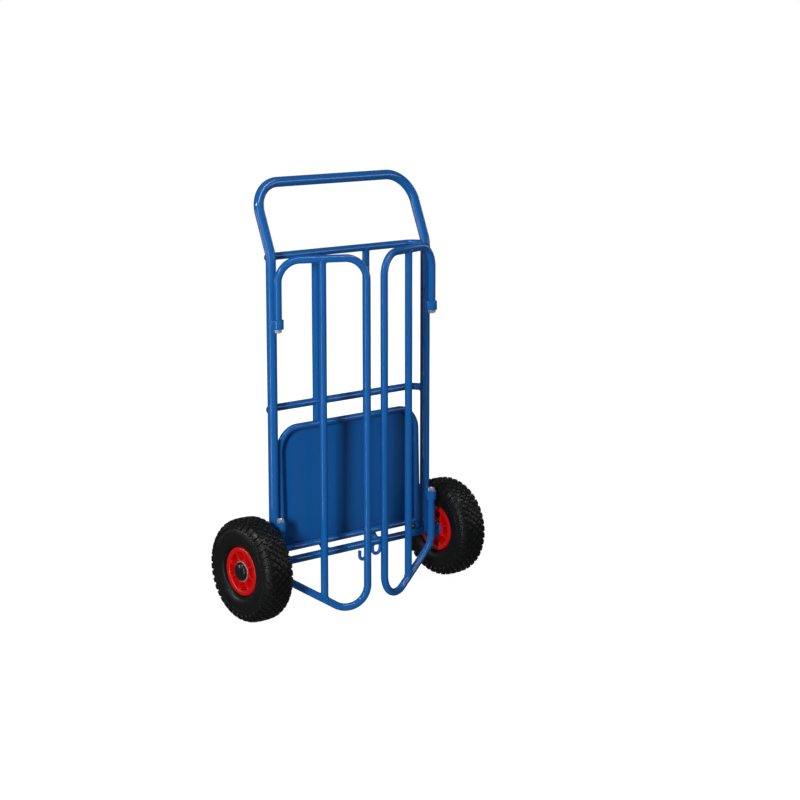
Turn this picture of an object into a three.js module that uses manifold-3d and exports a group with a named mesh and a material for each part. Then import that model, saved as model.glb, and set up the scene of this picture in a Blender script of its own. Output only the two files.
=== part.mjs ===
// A hand truck with two swinging wings and a fold-up toe plate.
// Millimetres, +Z up. The axle lies along X and the front of the truck faces -Y.
// The origin is on the floor, under the middle of the axle.
import * as THREE from 'three';
import Module from 'manifold-3d';
import { mergeVertices } from 'three/addons/utils/BufferGeometryUtils.js';

const wasm = await Module();
wasm.setup();

// Clearances and facets
const seatGap = 0.3;
const cutOverrun = 5;
const tubeSides = 12;
const barSides = 8;
const roundSides = 20;
const tyreSides = 40;
const rimSides = 32;
const domeSteps = 4;
const degreesPerBendStep = 23;

// Wheels
const wheelDiameter = 260;
const wheelWidth = 85;
const tyreBeadDiameter = 104;
const tyreSideDiameter = 214;
const tyreSideLean = 5;
const tyreShoulder = 11;
const tyreCrown = 2.5;
const treadDepth = 3.4;
const treadBlockShare = 0.68;
const treadRowShare = 0.213;
const treadRowsEachSide = 2;
const shoulderBendShare = 0.79;
const tyreTreadThickness = 9;
const tyreSideThickness = 7;
const tyreBeadThickness = 8;
const rimDiameter = 122;
const rimWidth = 68;
const rimFlangeThickness = 5;
const rimLipRadius = 1.5;
const rimPocketDiameter = 94;
const rimWebThickness = 6;
const rimRibThickness = 6;
const rimRibRecess = 3;
const rimRibCount = 8;
const rimRibTurnDegrees = 28;
const hubDiameter = 55;
const hubLength = 60;
const bushWall = 2.2;
const bushLength = 20;

// Axle and what holds a wheel on it
const axleDiameter = 20;
const axleEndRoom = 2.2;
const axleChamfer = 1;
const shoulderLength = 27.4;
const shoulderFlangeDiameter = 43;
const shoulderFlangeThickness = 5;
const shoulderSleeveDiameter = 28;
const washerDiameter = 51;
const washerThickness = 1.5;
const clipDiameter = 31;
const clipThickness = 1.6;
const capDiameter = 47;
const capHeight = 10;
const capWall = 1.2;

// Uprights and handle, one bent tube
const uprightDiameter = 25;
const uprightWall = 1.5;
const uprightSpacing = 498;
const handleBendHeight = 898;
const handleRise = 169;
const handleLeanDegrees = 22.4;
const handleLeanRadius = 60;
const handleCornerRadius = 75;

// Crossbars and centre bars
const barDiameter = 18.5;
const barWall = 1.5;
const barSetback = 38.6;
const upperBarDrop = 7.5;
const middleBarHeight = 514.8;
const barEndDegrees = 70;
const barEndRadius = 30;
const centreBarSpacing = 164;
const centreBarRadius = 40;
const centreBarDegrees = 45;

// Wings
const wingDiameter = 19;
const wingWall = 2;
const wingTopDrop = 9;
const wingReach = 223;
const wingBarReach = 111;
const wingElbowDrop = 29;
const wingBendRadius = 55;
const wingElbowRadius = 45;
const leftWingDegrees = 23.7;
const rightWingDegrees = 16.1;

// Wing hinges
const collarDiameter = 27;
const collarHeight = 23;
const upperCollarDrop = 155.4;
const lowerCollarRise = 130.2;
const pinDiameter = 10;
const pinPlugLength = 18;
const nutFlats = 17;
const nutHeight = 7.2;
const pinThreadEnd = 1.5;
const nutSides = 6;

// Toe plate, folded up
const plateTubeDiameter = 16;
const plateTubeWall = 1.5;
const plateLength = 317.5;
const plateCornerRadius = 58;
const plateRearOffset = 13.8;
const plateLeanDegrees = 1.5;
const plateSheetThickness = 2;
const platePivotRise = 18;
const platePivotSetback = 1.5;
const bracketWidth = 24;
const bracketThickness = 3.9;
const studDiameter = 6;
const studNutFlats = 10;
const studNutHeight = 5;
const studEnd = 1;

// Hook and loop under the axle
const hookBarDiameter = 9;
const hookLegPlace = 48;
const hookOpening = 22;
const hookDepth = 40;
const hookTipHeight = 13;
const loopMiddlePlace = 82;
const loopOpening = 26;
const loopDepth = 33;

// Places that follow from the sizes above
const axleHeight = wheelDiameter / 2;
const handleTopHeight = handleBendHeight + handleRise;
const upperBarHeight = handleBendHeight - upperBarDrop;
const wingTopHeight = handleBendHeight - wingTopDrop;
const upperCollarHeight = wingTopHeight - upperCollarDrop;
const wingElbowHeight = axleHeight - wingElbowDrop;
const lowerCollarHeight = wingElbowHeight + lowerCollarRise;
const platePivotHeight = axleHeight + platePivotRise;
const uprightX = uprightSpacing / 2;
const bracketOuterFace = uprightX - uprightDiameter / 2 - seatGap;
const bracketInnerFace = bracketOuterFace - bracketThickness;
const plateTubeX = bracketInnerFace - seatGap - plateTubeDiameter / 2;
const barReachForward = barSetback / Math.tan(THREE.MathUtils.degToRad(barEndDegrees));
const handleSetback = handleRise * Math.tan(THREE.MathUtils.degToRad(handleLeanDegrees));
const hingeSetback = (uprightDiameter + collarDiameter) / 2 + seatGap;
const shoulderFrom = uprightX + uprightDiameter / 2 + seatGap;
const shoulderTo = shoulderFrom + shoulderLength;
const wheelX = shoulderTo + seatGap + hubLength / 2;
const washerFace = hubLength / 2 + seatGap;
const capFace = washerFace + washerThickness + seatGap;
const axleHalfLength = wheelX + capFace + capHeight - axleEndRoom;

const bluePaint = new THREE.MeshStandardMaterial({ color: 0x1a5596, roughness: 0.35, metalness: 0.1 });
const redPlastic = new THREE.MeshStandardMaterial({ color: 0xd81e1e, roughness: 0.35, metalness: 0 });
const blackRubber = new THREE.MeshStandardMaterial({ color: 0x1e1e1e, roughness: 0.85, metalness: 0 });
const blackPlastic = new THREE.MeshStandardMaterial({ color: 0x141414, roughness: 0.2, metalness: 0 });
const whiteNylon = new THREE.MeshStandardMaterial({ color: 0xe4e2da, roughness: 0.5, metalness: 0 });
const zincSteel = new THREE.MeshStandardMaterial({ color: 0xc4c8cc, roughness: 0.35, metalness: 0.9 });

// One closed body with shared corners and its faces pointing out
function closed(geometry) {
  const bare = geometry.clone();
  bare.deleteAttribute('normal');
  bare.deleteAttribute('uv');
  const merged = mergeVertices(bare);
  const place = merged.attributes.position;
  const old = merged.index.array;
  const kept = [];
  const corners = [new THREE.Vector3(), new THREE.Vector3(), new THREE.Vector3()];
  let volume = 0;
  for (let i = 0; i < old.length; i += 3) {
    const [a, b, c] = [old[i], old[i + 1], old[i + 2]];
    if (a === b || b === c || c === a) continue;
    kept.push(a, b, c);
    [a, b, c].forEach((n, k) => corners[k].fromBufferAttribute(place, n));
    volume += corners[0].dot(corners[1].clone().cross(corners[2]));
  }
  if (volume < 0) kept.reverse();
  merged.setIndex(kept);
  return merged;
}

function solidOf(geometry) {
  const body = closed(geometry);
  return new wasm.Manifold(new wasm.Mesh({
    numProp: 3,
    vertProperties: new Float32Array(body.attributes.position.array),
    triVerts: new Uint32Array(body.index.array),
  }));
}

function geometryOf(solid) {
  const mesh = solid.getMesh();
  const geometry = new THREE.BufferGeometry();
  geometry.setAttribute('position', new THREE.BufferAttribute(mesh.vertProperties, 3));
  geometry.setIndex(new THREE.BufferAttribute(mesh.triVerts, 1));
  geometry.computeVertexNormals();
  return geometry;
}

function cut(geometry, ...cutters) {
  return geometryOf(cutters.reduce((left, cutter) => left.subtract(solidOf(cutter)), solidOf(geometry)));
}

function join(...geometries) {
  return geometryOf(geometries.map(solidOf).reduce((all, next) => all.add(next)));
}

// A centreline kept as stations, so that a straight run needs no rings between its ends
class StationCurve extends THREE.Curve {
  constructor(stations) {
    super();
    this.stations = stations;
  }

  station(share) {
    return this.stations[Math.round(share * (this.stations.length - 1))];
  }

  getPoint(share, target = new THREE.Vector3()) {
    return target.copy(this.station(share).point);
  }

  getPointAt(share, target) {
    return this.getPoint(share, target);
  }

  getTangent(share, target = new THREE.Vector3()) {
    return target.copy(this.station(share).direction);
  }

  getTangentAt(share, target) {
    return this.getTangent(share, target);
  }
}

// Straight runs between corners, with a round bend at each inner corner
function bentRoute(corners, radii) {
  const points = corners.map((corner) => new THREE.Vector3(...corner));
  const headings = points.slice(1).map((point, i) => point.clone().sub(points[i]).normalize());
  const stations = [{ point: points[0], direction: headings[0] }];
  radii.forEach((radius, i) => {
    const [into, out] = [headings[i], headings[i + 1]];
    const turn = into.angleTo(out);
    const inward = out.clone().addScaledVector(into, -Math.cos(turn)).normalize();
    const centre = points[i + 1].clone()
      .addScaledVector(into, -radius * Math.tan(turn / 2))
      .addScaledVector(inward, radius);
    const steps = Math.ceil(THREE.MathUtils.radToDeg(turn) / degreesPerBendStep);
    for (let k = 0; k <= steps; k += 1) {
      const angle = (turn * k) / steps;
      const point = centre.clone()
        .addScaledVector(inward, -radius * Math.cos(angle))
        .addScaledVector(into, radius * Math.sin(angle));
      const direction = into.clone().multiplyScalar(Math.cos(angle)).addScaledVector(inward, Math.sin(angle));
      if (point.distanceTo(stations.at(-1).point) > seatGap) stations.push({ point, direction });
    }
  });
  stations.push({ point: points.at(-1), direction: headings.at(-1) });
  return new StationCurve(stations);
}

function disc(radius, sides) {
  const corners = Array.from({ length: sides }, (_, i) => {
    const angle = (i / sides) * 2 * Math.PI;
    return new THREE.Vector2(radius * Math.cos(angle), radius * Math.sin(angle));
  });
  return new THREE.Shape(corners);
}

function sweep(section, route) {
  const steps = route.stations.length - 1;
  return new THREE.ExtrudeGeometry(section, { steps, bevelEnabled: false, extrudePath: route });
}

// A hollow tube with open ends
function tube(route, diameter, wall) {
  const section = disc(diameter / 2, tubeSides);
  section.holes.push(disc(diameter / 2 - wall, barSides));
  return sweep(section, route);
}

function rod(route, diameter, sides = barSides) {
  return sweep(disc(diameter / 2, sides), route);
}

// The space that a round piece takes with its gap, for cutting what is fitted to it
function clearanceAround(route, diameter, sides = tubeSides) {
  const radius = (diameter / 2 + seatGap) / Math.cos(Math.PI / sides);
  return sweep(disc(radius, sides), route);
}

function straight(from, to) {
  return bentRoute([from, to], []);
}

// A turned piece on the X axis, from pairs of radius and place along X
function turned(profile, sides = roundSides) {
  const points = profile.map(([radius, along]) => new THREE.Vector2(radius, along));
  return new THREE.LatheGeometry(points, sides).rotateZ(-Math.PI / 2);
}

// A turned ring or sleeve with a bore, between two places along X
function ring(outerDiameter, boreDiameter, from, to, sides = roundSides) {
  const [outer, bore] = [outerDiameter / 2, boreDiameter / 2];
  return turned([[bore, from], [outer, from], [outer, to], [bore, to], [bore, from]], sides);
}

// A bore wide enough for a round piece of that diameter with the gap all round
function boreFor(diameter, sides = roundSides) {
  return (diameter + 2 * seatGap) / Math.cos(Math.PI / sides);
}

// Each pair is placed by its side of the truck: -1 is left in a front view, +1 is right
const bothSides = [['left', -1], ['right', 1]];

const truck = new THREE.Group();

function add(name, geometry, material, parent = truck) {
  const mesh = new THREE.Mesh(closed(geometry), material);
  mesh.name = name;
  parent.add(mesh);
  return mesh;
}

// Routes of the welded frame
const axleRoute = straight([-axleHalfLength, 0, axleHeight], [axleHalfLength, 0, axleHeight]);

const frameRoute = bentRoute([
  [-uprightX, 0, axleHeight],
  [-uprightX, 0, handleBendHeight],
  [-uprightX, handleSetback, handleTopHeight],
  [uprightX, handleSetback, handleTopHeight],
  [uprightX, 0, handleBendHeight],
  [uprightX, 0, axleHeight],
], [handleLeanRadius, handleCornerRadius, handleCornerRadius, handleLeanRadius]);

function crossbarRoute(height) {
  const bendX = uprightX - barReachForward;
  return bentRoute([
    [-uprightX, 0, height],
    [-bendX, barSetback, height],
    [bendX, barSetback, height],
    [uprightX, 0, height],
  ], [barEndRadius, barEndRadius]);
}

const upperBarRoute = crossbarRoute(upperBarHeight);
const middleBarRoute = crossbarRoute(middleBarHeight);
const axleSpace = clearanceAround(axleRoute, axleDiameter);
const frameSpace = clearanceAround(frameRoute, uprightDiameter);
const upperBarSpace = clearanceAround(upperBarRoute, barDiameter);
const middleBarSpace = clearanceAround(middleBarRoute, barDiameter);

function buildFrame() {
  add('main_frame_tube', cut(tube(frameRoute, uprightDiameter, uprightWall), axleSpace), bluePaint);
  const upperBar = tube(upperBarRoute, barDiameter, barWall);
  const middleBar = tube(middleBarRoute, barDiameter, barWall);
  add('upper_crossbar', cut(upperBar, frameSpace), bluePaint);
  add('middle_crossbar', cut(middleBar, frameSpace), bluePaint);
  const bendHeight = axleHeight + barSetback / Math.tan(THREE.MathUtils.degToRad(centreBarDegrees));
  for (const [name, side] of bothSides) {
    const x = (side * centreBarSpacing) / 2;
    const upperRoute = straight([x, barSetback, upperBarHeight], [x, barSetback, middleBarHeight]);
    const lowerRoute = bentRoute([
      [x, barSetback, middleBarHeight],
      [x, barSetback, bendHeight],
      [x, 0, axleHeight],
    ], [centreBarRadius]);
    const upper = cut(tube(upperRoute, barDiameter, barWall), upperBarSpace, middleBarSpace);
    const lower = cut(tube(lowerRoute, barDiameter, barWall), middleBarSpace, axleSpace);
    add(`centre_bar_upper_${name}`, upper, bluePaint);
    add(`centre_bar_lower_${name}`, lower, bluePaint);
  }
}

function buildAxle() {
  const radius = axleDiameter / 2;
  const tip = radius - axleChamfer;
  const bar = turned([
    [0, -axleHalfLength],
    [tip, -axleHalfLength],
    [radius, axleChamfer - axleHalfLength],
    [radius, axleHalfLength - axleChamfer],
    [tip, axleHalfLength],
    [0, axleHalfLength],
  ]);
  add('axle', bar.translate(0, 0, axleHeight), bluePaint);
  const flangeFrom = shoulderTo - shoulderFlangeThickness;
  const bore = boreFor(axleDiameter) / 2;
  const flange = shoulderFlangeDiameter / 2;
  const sleeve = shoulderSleeveDiameter / 2;
  for (const [name, side] of bothSides) {
    const shoulder = turned([
      [bore, side * shoulderFrom],
      [sleeve, side * shoulderFrom],
      [sleeve, side * flangeFrom],
      [flange, side * flangeFrom],
      [flange, side * shoulderTo],
      [bore, side * shoulderTo],
      [bore, side * shoulderFrom],
    ]);
    add(`axle_shoulder_${name}`, shoulder.translate(0, 0, axleHeight), bluePaint);
  }
}

// The hook and the loop hang from the underside of the axle
function buildHooks() {
  const hookBottom = axleHeight - hookDepth;
  const hookTipX = hookLegPlace - hookOpening;
  const hookRoute = bentRoute([
    [hookLegPlace, 0, axleHeight],
    [hookLegPlace, 0, hookBottom],
    [hookTipX, 0, hookBottom],
    [hookTipX, 0, hookBottom + hookOpening / 2 + hookTipHeight],
  ], [hookOpening / 2, hookOpening / 2]);
  add('axle_hook', cut(rod(hookRoute, hookBarDiameter), axleSpace), bluePaint);
  const loopBottom = axleHeight - loopDepth;
  const [loopLeft, loopRight] = [-1, 1].map((side) => loopMiddlePlace + (side * loopOpening) / 2);
  const loopRoute = bentRoute([
    [loopLeft, 0, axleHeight],
    [loopLeft, 0, loopBottom],
    [loopRight, 0, loopBottom],
    [loopRight, 0, axleHeight],
  ], [loopOpening / 2, loopOpening / 2]);
  add('axle_loop', cut(rod(loopRoute, hookBarDiameter), axleSpace), bluePaint);
}

// A hexagon nut standing on z = 0, with a bore for its thread
function hexNut(flats, height, threadDiameter) {
  const section = disc(flats / 2 / Math.cos(Math.PI / nutSides), nutSides);
  section.holes.push(disc(boreFor(threadDiameter, barSides) / 2, barSides));
  return new THREE.ExtrudeGeometry(section, { depth: height, steps: 1, bevelEnabled: false });
}

function buildCollars() {
  for (const [name, side] of bothSides) {
    for (const [level, height] of [['upper', upperCollarHeight], ['lower', lowerCollarHeight]]) {
      const sleeve = ring(collarDiameter, boreFor(pinDiameter), -collarHeight / 2, collarHeight / 2);
      sleeve.rotateY(-Math.PI / 2);
      sleeve.translate(side * uprightX, -hingeSetback, height);
      add(`wing_collar_${level}_${name}`, sleeve, bluePaint);
    }
  }
}

// The diagonal's slope: it starts at the elbow and is tangent to the bottom bend, whose lowest
// point stands on the floor
const footHeight = wingDiameter / 2;
const bottomBendCentre = wingReach - wingBendRadius;
const bendAboveElbow = footHeight + wingBendRadius - wingElbowHeight;
const diagonalAngle = Math.asin(wingBendRadius / Math.hypot(bottomBendCentre, bendAboveElbow))
  - Math.atan2(bendAboveElbow, bottomBendCentre);
const diagonalFoot = bottomBendCentre - wingBendRadius * Math.tan(diagonalAngle / 2);

// A wing is drawn with its hinge axis on the Z axis and reaches inwards, along X
function buildWing(name, side, openDegrees) {
  const wing = new THREE.Group();
  wing.position.set(side * uprightX, -hingeSetback, 0);
  wing.rotation.z = side * THREE.MathUtils.degToRad(openDegrees);
  truck.add(wing);
  const at = (reach, height) => [-side * reach, 0, height];
  const upperEnd = upperCollarHeight + collarHeight / 2 + seatGap;
  const lowerEnd = lowerCollarHeight - collarHeight / 2 - seatGap;
  const loopRoute = bentRoute([
    at(0, upperEnd),
    at(0, wingTopHeight),
    at(wingReach, wingTopHeight),
    at(wingReach, footHeight),
    at(diagonalFoot, footHeight),
    at(0, wingElbowHeight),
    at(0, lowerEnd),
  ], [wingBendRadius, wingBendRadius, wingBendRadius, wingBendRadius, wingElbowRadius]);
  add(`wing_tube_${name}`, tube(loopRoute, wingDiameter, wingWall), bluePaint, wing);
  const barFoot = footHeight + (diagonalFoot - wingBarReach) * Math.tan(diagonalAngle);
  const barRoute = straight(at(wingBarReach, wingTopHeight), at(wingBarReach, barFoot));
  const loopSpace = clearanceAround(loopRoute, wingDiameter);
  add(`wing_bar_${name}`, cut(tube(barRoute, wingDiameter, wingWall), loopSpace), bluePaint, wing);
  buildWingPins(name, wing);
}

// Each pin has a plug inside the wing's tube end and a thread through the collar and its nut
function buildWingPins(name, wing) {
  const plug = (wingDiameter / 2 - wingWall) * Math.cos(Math.PI / barSides) - seatGap;
  const shank = pinDiameter / 2;
  const shankLength = collarHeight + nutHeight + pinThreadEnd + 3 * seatGap;
  const profile = [[0, -pinPlugLength], [plug, -pinPlugLength], [plug, 0], [shank, 0], [shank, shankLength]];
  const pin = turned([...profile, [0, shankLength]], tubeSides);
  const collarFace = collarHeight / 2 + seatGap;
  const upperPin = pin.clone().rotateY(Math.PI / 2).translate(0, 0, upperCollarHeight + collarFace);
  const lowerPin = pin.clone().rotateY(-Math.PI / 2).translate(0, 0, lowerCollarHeight - collarFace);
  add(`wing_pin_upper_${name}`, upperPin, zincSteel, wing);
  add(`wing_pin_lower_${name}`, lowerPin, zincSteel, wing);
  const nut = hexNut(nutFlats, nutHeight, pinDiameter);
  const upperNut = nut.clone().translate(0, 0, upperCollarHeight - collarFace - nutHeight);
  const lowerNut = nut.clone().translate(0, 0, lowerCollarHeight + collarFace);
  add(`wing_nut_upper_${name}`, upperNut, zincSteel, wing);
  add(`wing_nut_lower_${name}`, lowerNut, zincSteel, wing);
}

// The toe plate is drawn upright, with its pivot line on the X axis
function buildToePlate() {
  const plate = new THREE.Group();
  plate.position.set(0, platePivotSetback, platePivotHeight);
  plate.rotation.x = -THREE.MathUtils.degToRad(plateLeanDegrees);
  truck.add(plate);
  const x = plateTubeX;
  const radius = plateTubeDiameter / 2;
  const sideRoute = bentRoute([
    [-x, 0, -radius],
    [-x, 0, plateLength],
    [x, 0, plateLength],
    [x, 0, -radius],
  ], [plateCornerRadius, plateCornerRadius]);
  const studReach = x + radius + cutOverrun;
  const studSpace = ring(boreFor(studDiameter, barSides), 0, -studReach, studReach, barSides);
  // The lower ends are rounded about the pivot, to clear the axle as the plate folds
  const endRound = radius - seatGap;
  const endBlock = new THREE.BoxGeometry(2 * studReach, plateTubeDiameter + cutOverrun, 2 * radius);
  endBlock.translate(0, 0, -radius);
  const roundedAway = cut(endBlock, ring(2 * endRound, 0, -2 * studReach, 2 * studReach));
  const sideTube = tube(sideRoute, plateTubeDiameter, plateTubeWall);
  add('plate_frame_tube', cut(sideTube, studSpace, roundedAway), bluePaint, plate);
  const rearRoute = straight([-x, 0, plateRearOffset], [x, 0, plateRearOffset]);
  const sideSpace = clearanceAround(sideRoute, plateTubeDiameter);
  const rearTube = tube(rearRoute, plateTubeDiameter, plateTubeWall);
  add('plate_rear_tube', cut(rearTube, sideSpace), bluePaint, plate);
  const outline = new THREE.Shape();
  const corner = plateCornerRadius;
  outline.moveTo(-x, plateRearOffset);
  outline.lineTo(x, plateRearOffset);
  outline.lineTo(x, plateLength - corner);
  outline.absarc(x - corner, plateLength - corner, corner, 0, Math.PI / 2, false);
  outline.lineTo(corner - x, plateLength);
  outline.absarc(corner - x, plateLength - corner, corner, Math.PI / 2, Math.PI, false);
  const sheet = new THREE.ExtrudeGeometry(outline, {
    depth: plateSheetThickness, steps: 1, bevelEnabled: false, curveSegments: barSides,
  });
  // Turned upright, the sheet lies behind the tubes
  sheet.rotateX(Math.PI / 2);
  sheet.translate(0, radius + seatGap + plateSheetThickness, 0);
  add('plate_sheet', sheet, bluePaint, plate);
}

// Brackets stand on the axle beside the uprights, and their studs carry the toe plate
function buildPlatePivots() {
  const nutFrom = plateTubeX - plateTubeDiameter / 2 - seatGap - studNutHeight;
  const studTo = nutFrom - studEnd;
  for (const [name, side] of bothSides) {
    const outline = new THREE.Shape();
    const half = bracketWidth / 2;
    outline.moveTo(-half, 0);
    outline.lineTo(half, 0);
    outline.lineTo(half, platePivotRise);
    outline.absarc(0, platePivotRise, half, 0, Math.PI, false);
    const plate = new THREE.ExtrudeGeometry(outline, {
      depth: bracketThickness, steps: 1, bevelEnabled: false, curveSegments: barSides,
    });
    // The outline's own X and Y become the truck's Y and Z
    plate.rotateX(Math.PI / 2).rotateZ(Math.PI / 2);
    plate.translate(side > 0 ? bracketInnerFace : -bracketOuterFace, platePivotSetback, axleHeight);
    const stud = ring(studDiameter, 0, side * studTo, side * bracketOuterFace, barSides);
    stud.translate(0, platePivotSetback, platePivotHeight);
    const studSpaceEnd = side * (bracketOuterFace + cutOverrun);
    const studSpace = ring(boreFor(studDiameter, barSides), 0, side * studTo, studSpaceEnd, barSides);
    studSpace.translate(0, platePivotSetback, platePivotHeight);
    add(`plate_bracket_${name}`, cut(plate, axleSpace, studSpace), bluePaint);
    add(`plate_stud_${name}`, stud, zincSteel);
    const nut = hexNut(studNutFlats, studNutHeight, studDiameter).rotateZ(Math.PI / nutSides);
    nut.rotateY(Math.PI / 2);
    nut.translate(side > 0 ? nutFrom : -nutFrom - studNutHeight, platePivotSetback, platePivotHeight);
    add(`plate_nut_${name}`, nut, blackPlastic);
  }
}

// Triangles that fan out from a patch's first corner
function fan(corners) {
  return corners.slice(2).flatMap((corner, i) => [...corners[0], ...corners[i + 1], ...corner]);
}

// A raised block: its top, in patches of corner numbers, and a slope from each edge of its base
function raised(base, top, patches) {
  const sides = base.map((corner, i) => {
    const next = (i + 1) % base.length;
    return fan([corner, base[next], top[next], top[i]]);
  });
  const tops = patches.map((patch) => fan(patch.map((corner) => top[corner])));
  return [...tops, ...sides].flat();
}

// A line of radius and place pairs, measured along its length
function measured(line) {
  const lengths = [0];
  line.slice(1).forEach(([radius, place], i) => {
    lengths.push(lengths[i] + Math.hypot(radius - line[i][0], place - line[i][1]));
  });
  // The point at that length, raised square to the line
  const at = (run, height) => {
    const beyond = lengths.findIndex((length) => length > run);
    const to = beyond < 0 ? line.length - 1 : beyond;
    const from = to - 1;
    const span = lengths[to] - lengths[from];
    const share = (run - lengths[from]) / span;
    const [rise, step] = [0, 1].map((k) => line[to][k] - line[from][k]);
    return [
      line[from][0] + rise * share + (step / span) * height,
      line[from][1] + step * share - (rise / span) * height,
    ];
  };
  return { length: lengths.at(-1), at };
}

// The tyre is one closed body. Its rows of diamond blocks, every second row half a pitch on,
// meet in V grooves, and a longer block bends over the shoulder at each pitch. Each pitch lies
// on one flat, and the wheel stands on a flat
function tyreBody(treadLine, sideLoop) {
  const halfPitch = Math.PI / tyreSides;
  const turns = 2 * tyreSides;
  // Turns are counted in half pitches from the middle of the lowest flat
  const point = ([radius, place], turn) => {
    const angle = ((turn + turns) % turns) * halfPitch - Math.PI / 2;
    const reach = radius / Math.cos((turn - 2 * Math.round(turn / 2)) * halfPitch);
    return [place, reach * Math.cos(angle), reach * Math.sin(angle)];
  };
  const tread = measured(treadLine);
  const rowSpacing = tread.length * treadRowShare;
  const surface = (row, turn, height) => {
    const [radius, place] = tread.at(Math.abs(row) * rowSpacing, height);
    return point([radius, Math.sign(row) * place], turn);
  };
  const block = (corners, patches) => {
    const sum = corners.reduce(([rows, steps], [row, turn]) => [rows + row, steps + turn]);
    const [middleRow, middleTurn] = sum.map((total) => total / corners.length);
    const inset = corners.map(([row, turn]) => {
      return [
        middleRow + (row - middleRow) * treadBlockShare,
        middleTurn + (turn - middleTurn) * treadBlockShare,
      ];
    });
    return raised(
      corners.map(([row, turn]) => surface(row, turn, 0)),
      inset.map(([row, turn]) => surface(row, turn, treadDepth)),
      patches,
    );
  };
  const outerRow = treadRowsEachSide + 1;
  const lastRow = 1 / treadRowShare;
  const bendRow = lastRow * shoulderBendShare;
  const places = [];
  for (let turn = 0; turn < turns; turn += 1) {
    for (let row = -treadRowsEachSide; row <= treadRowsEachSide; row += 1) {
      if ((row + turn) % 2 === 0) {
        const diamond = [[row - 1, turn], [row, turn + 1], [row + 1, turn], [row, turn - 1]];
        places.push(...block(diamond, [[0, 1, 2, 3]]));
      }
    }
    if ((outerRow + turn) % 2 === 0) {
      const shoulder = [
        [treadRowsEachSide, turn], [outerRow, turn + 1], [bendRow, turn + 1], [lastRow, turn + 1],
        [lastRow, turn - 1], [bendRow, turn - 1], [outerRow, turn - 1],
      ];
      places.push(...block(shoulder, [[0, 1, 6], [1, 2, 5, 6], [2, 3, 4, 5]]));
      const opposite = shoulder.map(([row, at]) => [-row, at]).reverse();
      places.push(...block(opposite, [[0, 5, 6], [0, 1, 4, 5], [1, 2, 3, 4]]));
    } else {
      sideLoop.slice(1).forEach((next, i) => {
        const [from, to] = [sideLoop[i], next];
        places.push(...fan([point(from, turn), point(from, turn + 2), point(to, turn + 2), point(to, turn)]));
      });
    }
  }
  const body = new THREE.BufferGeometry();
  body.setAttribute('position', new THREE.Float32BufferAttribute(places, 3));
  return body;
}

// A wheel is drawn about its own middle, on the X axis, with its outer face towards +X
function buildWheel(name, side) {
  const wheel = new THREE.Group();
  wheel.position.set(side * wheelX, 0, axleHeight);
  wheel.rotation.z = side > 0 ? 0 : Math.PI;
  truck.add(wheel);
  const half = wheelWidth / 2;
  const outer = wheelDiameter / 2;
  const bead = tyreBeadDiameter / 2 + seatGap;
  const beadEdge = rimWidth / 2 - rimFlangeThickness - seatGap;
  const lip = rimDiameter / 2 + 2 * seatGap;
  const sideRadius = tyreSideDiameter / 2;
  const groove = outer - treadDepth;
  const chamberCrown = outer - tyreTreadThickness;
  const chamberSide = half - tyreSideThickness;
  const treadLine = [
    [groove, 0],
    [groove, tyreShoulder],
    [groove - tyreCrown, half - tyreSideLean - tyreShoulder],
    [groove - tyreShoulder, half - tyreSideLean - tyreCrown],
    [sideRadius, half - tyreCrown],
  ];
  const sideLine = [
    treadLine.at(-1),
    [(lip + sideRadius) / 2, half],
    [lip + tyreSideLean, half - tyreSideLean],
    [lip, beadEdge],
    [bead, beadEdge],
    [bead, beadEdge - tyreBeadThickness],
    [lip, beadEdge - tyreSideLean],
    [(lip + sideRadius) / 2, chamberSide],
    [sideRadius, chamberSide],
    [chamberCrown - tyreCrown, chamberSide - tyreSideThickness],
    [chamberCrown, tyreShoulder],
  ];
  const mirrored = sideLine.map(([radius, place]) => [radius, -place]).reverse();
  add(`tyre_${name}`, tyreBody(treadLine, [...sideLine, ...mirrored]), blackRubber, wheel);
  buildRim(name, wheel);
  buildWheelFixings(name, wheel);
}

function buildRim(name, wheel) {
  const flange = rimDiameter / 2;
  const half = rimWidth / 2;
  const flangeInner = half - rimFlangeThickness;
  const seat = tyreBeadDiameter / 2;
  const pocket = rimPocketDiameter / 2;
  const hub = hubDiameter / 2;
  const web = rimWebThickness / 2;
  const bore = boreFor(axleDiameter + 2 * seatGap + 2 * bushWall) / 2;
  const halfProfile = [
    [bore, hubLength / 2],
    [hub, hubLength / 2],
    [hub, web],
    [pocket, web],
    [pocket, half - rimLipRadius],
    [pocket + rimLipRadius, half],
    [flange - rimLipRadius, half],
    [flange, half - rimLipRadius],
    [flange, flangeInner],
    [seat, flangeInner],
  ];
  const mirrored = halfProfile.map(([radius, along]) => [radius, -along]).reverse();
  const dish = turned([...halfProfile, ...mirrored, halfProfile[0]], rimSides);
  const ribLength = pocket - hub + 2 * rimLipRadius;
  const ribs = Array.from({ length: rimRibCount }, (_, i) => {
    const rib = new THREE.BoxGeometry(rimWidth - 2 * rimRibRecess, rimRibThickness, ribLength);
    rib.translate(0, 0, (pocket + hub) / 2);
    return rib.rotateX((i / rimRibCount) * 2 * Math.PI + THREE.MathUtils.degToRad(rimRibTurnDegrees));
  });
  add(`rim_${name}`, join(dish, ...ribs), redPlastic, wheel);
}

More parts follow.
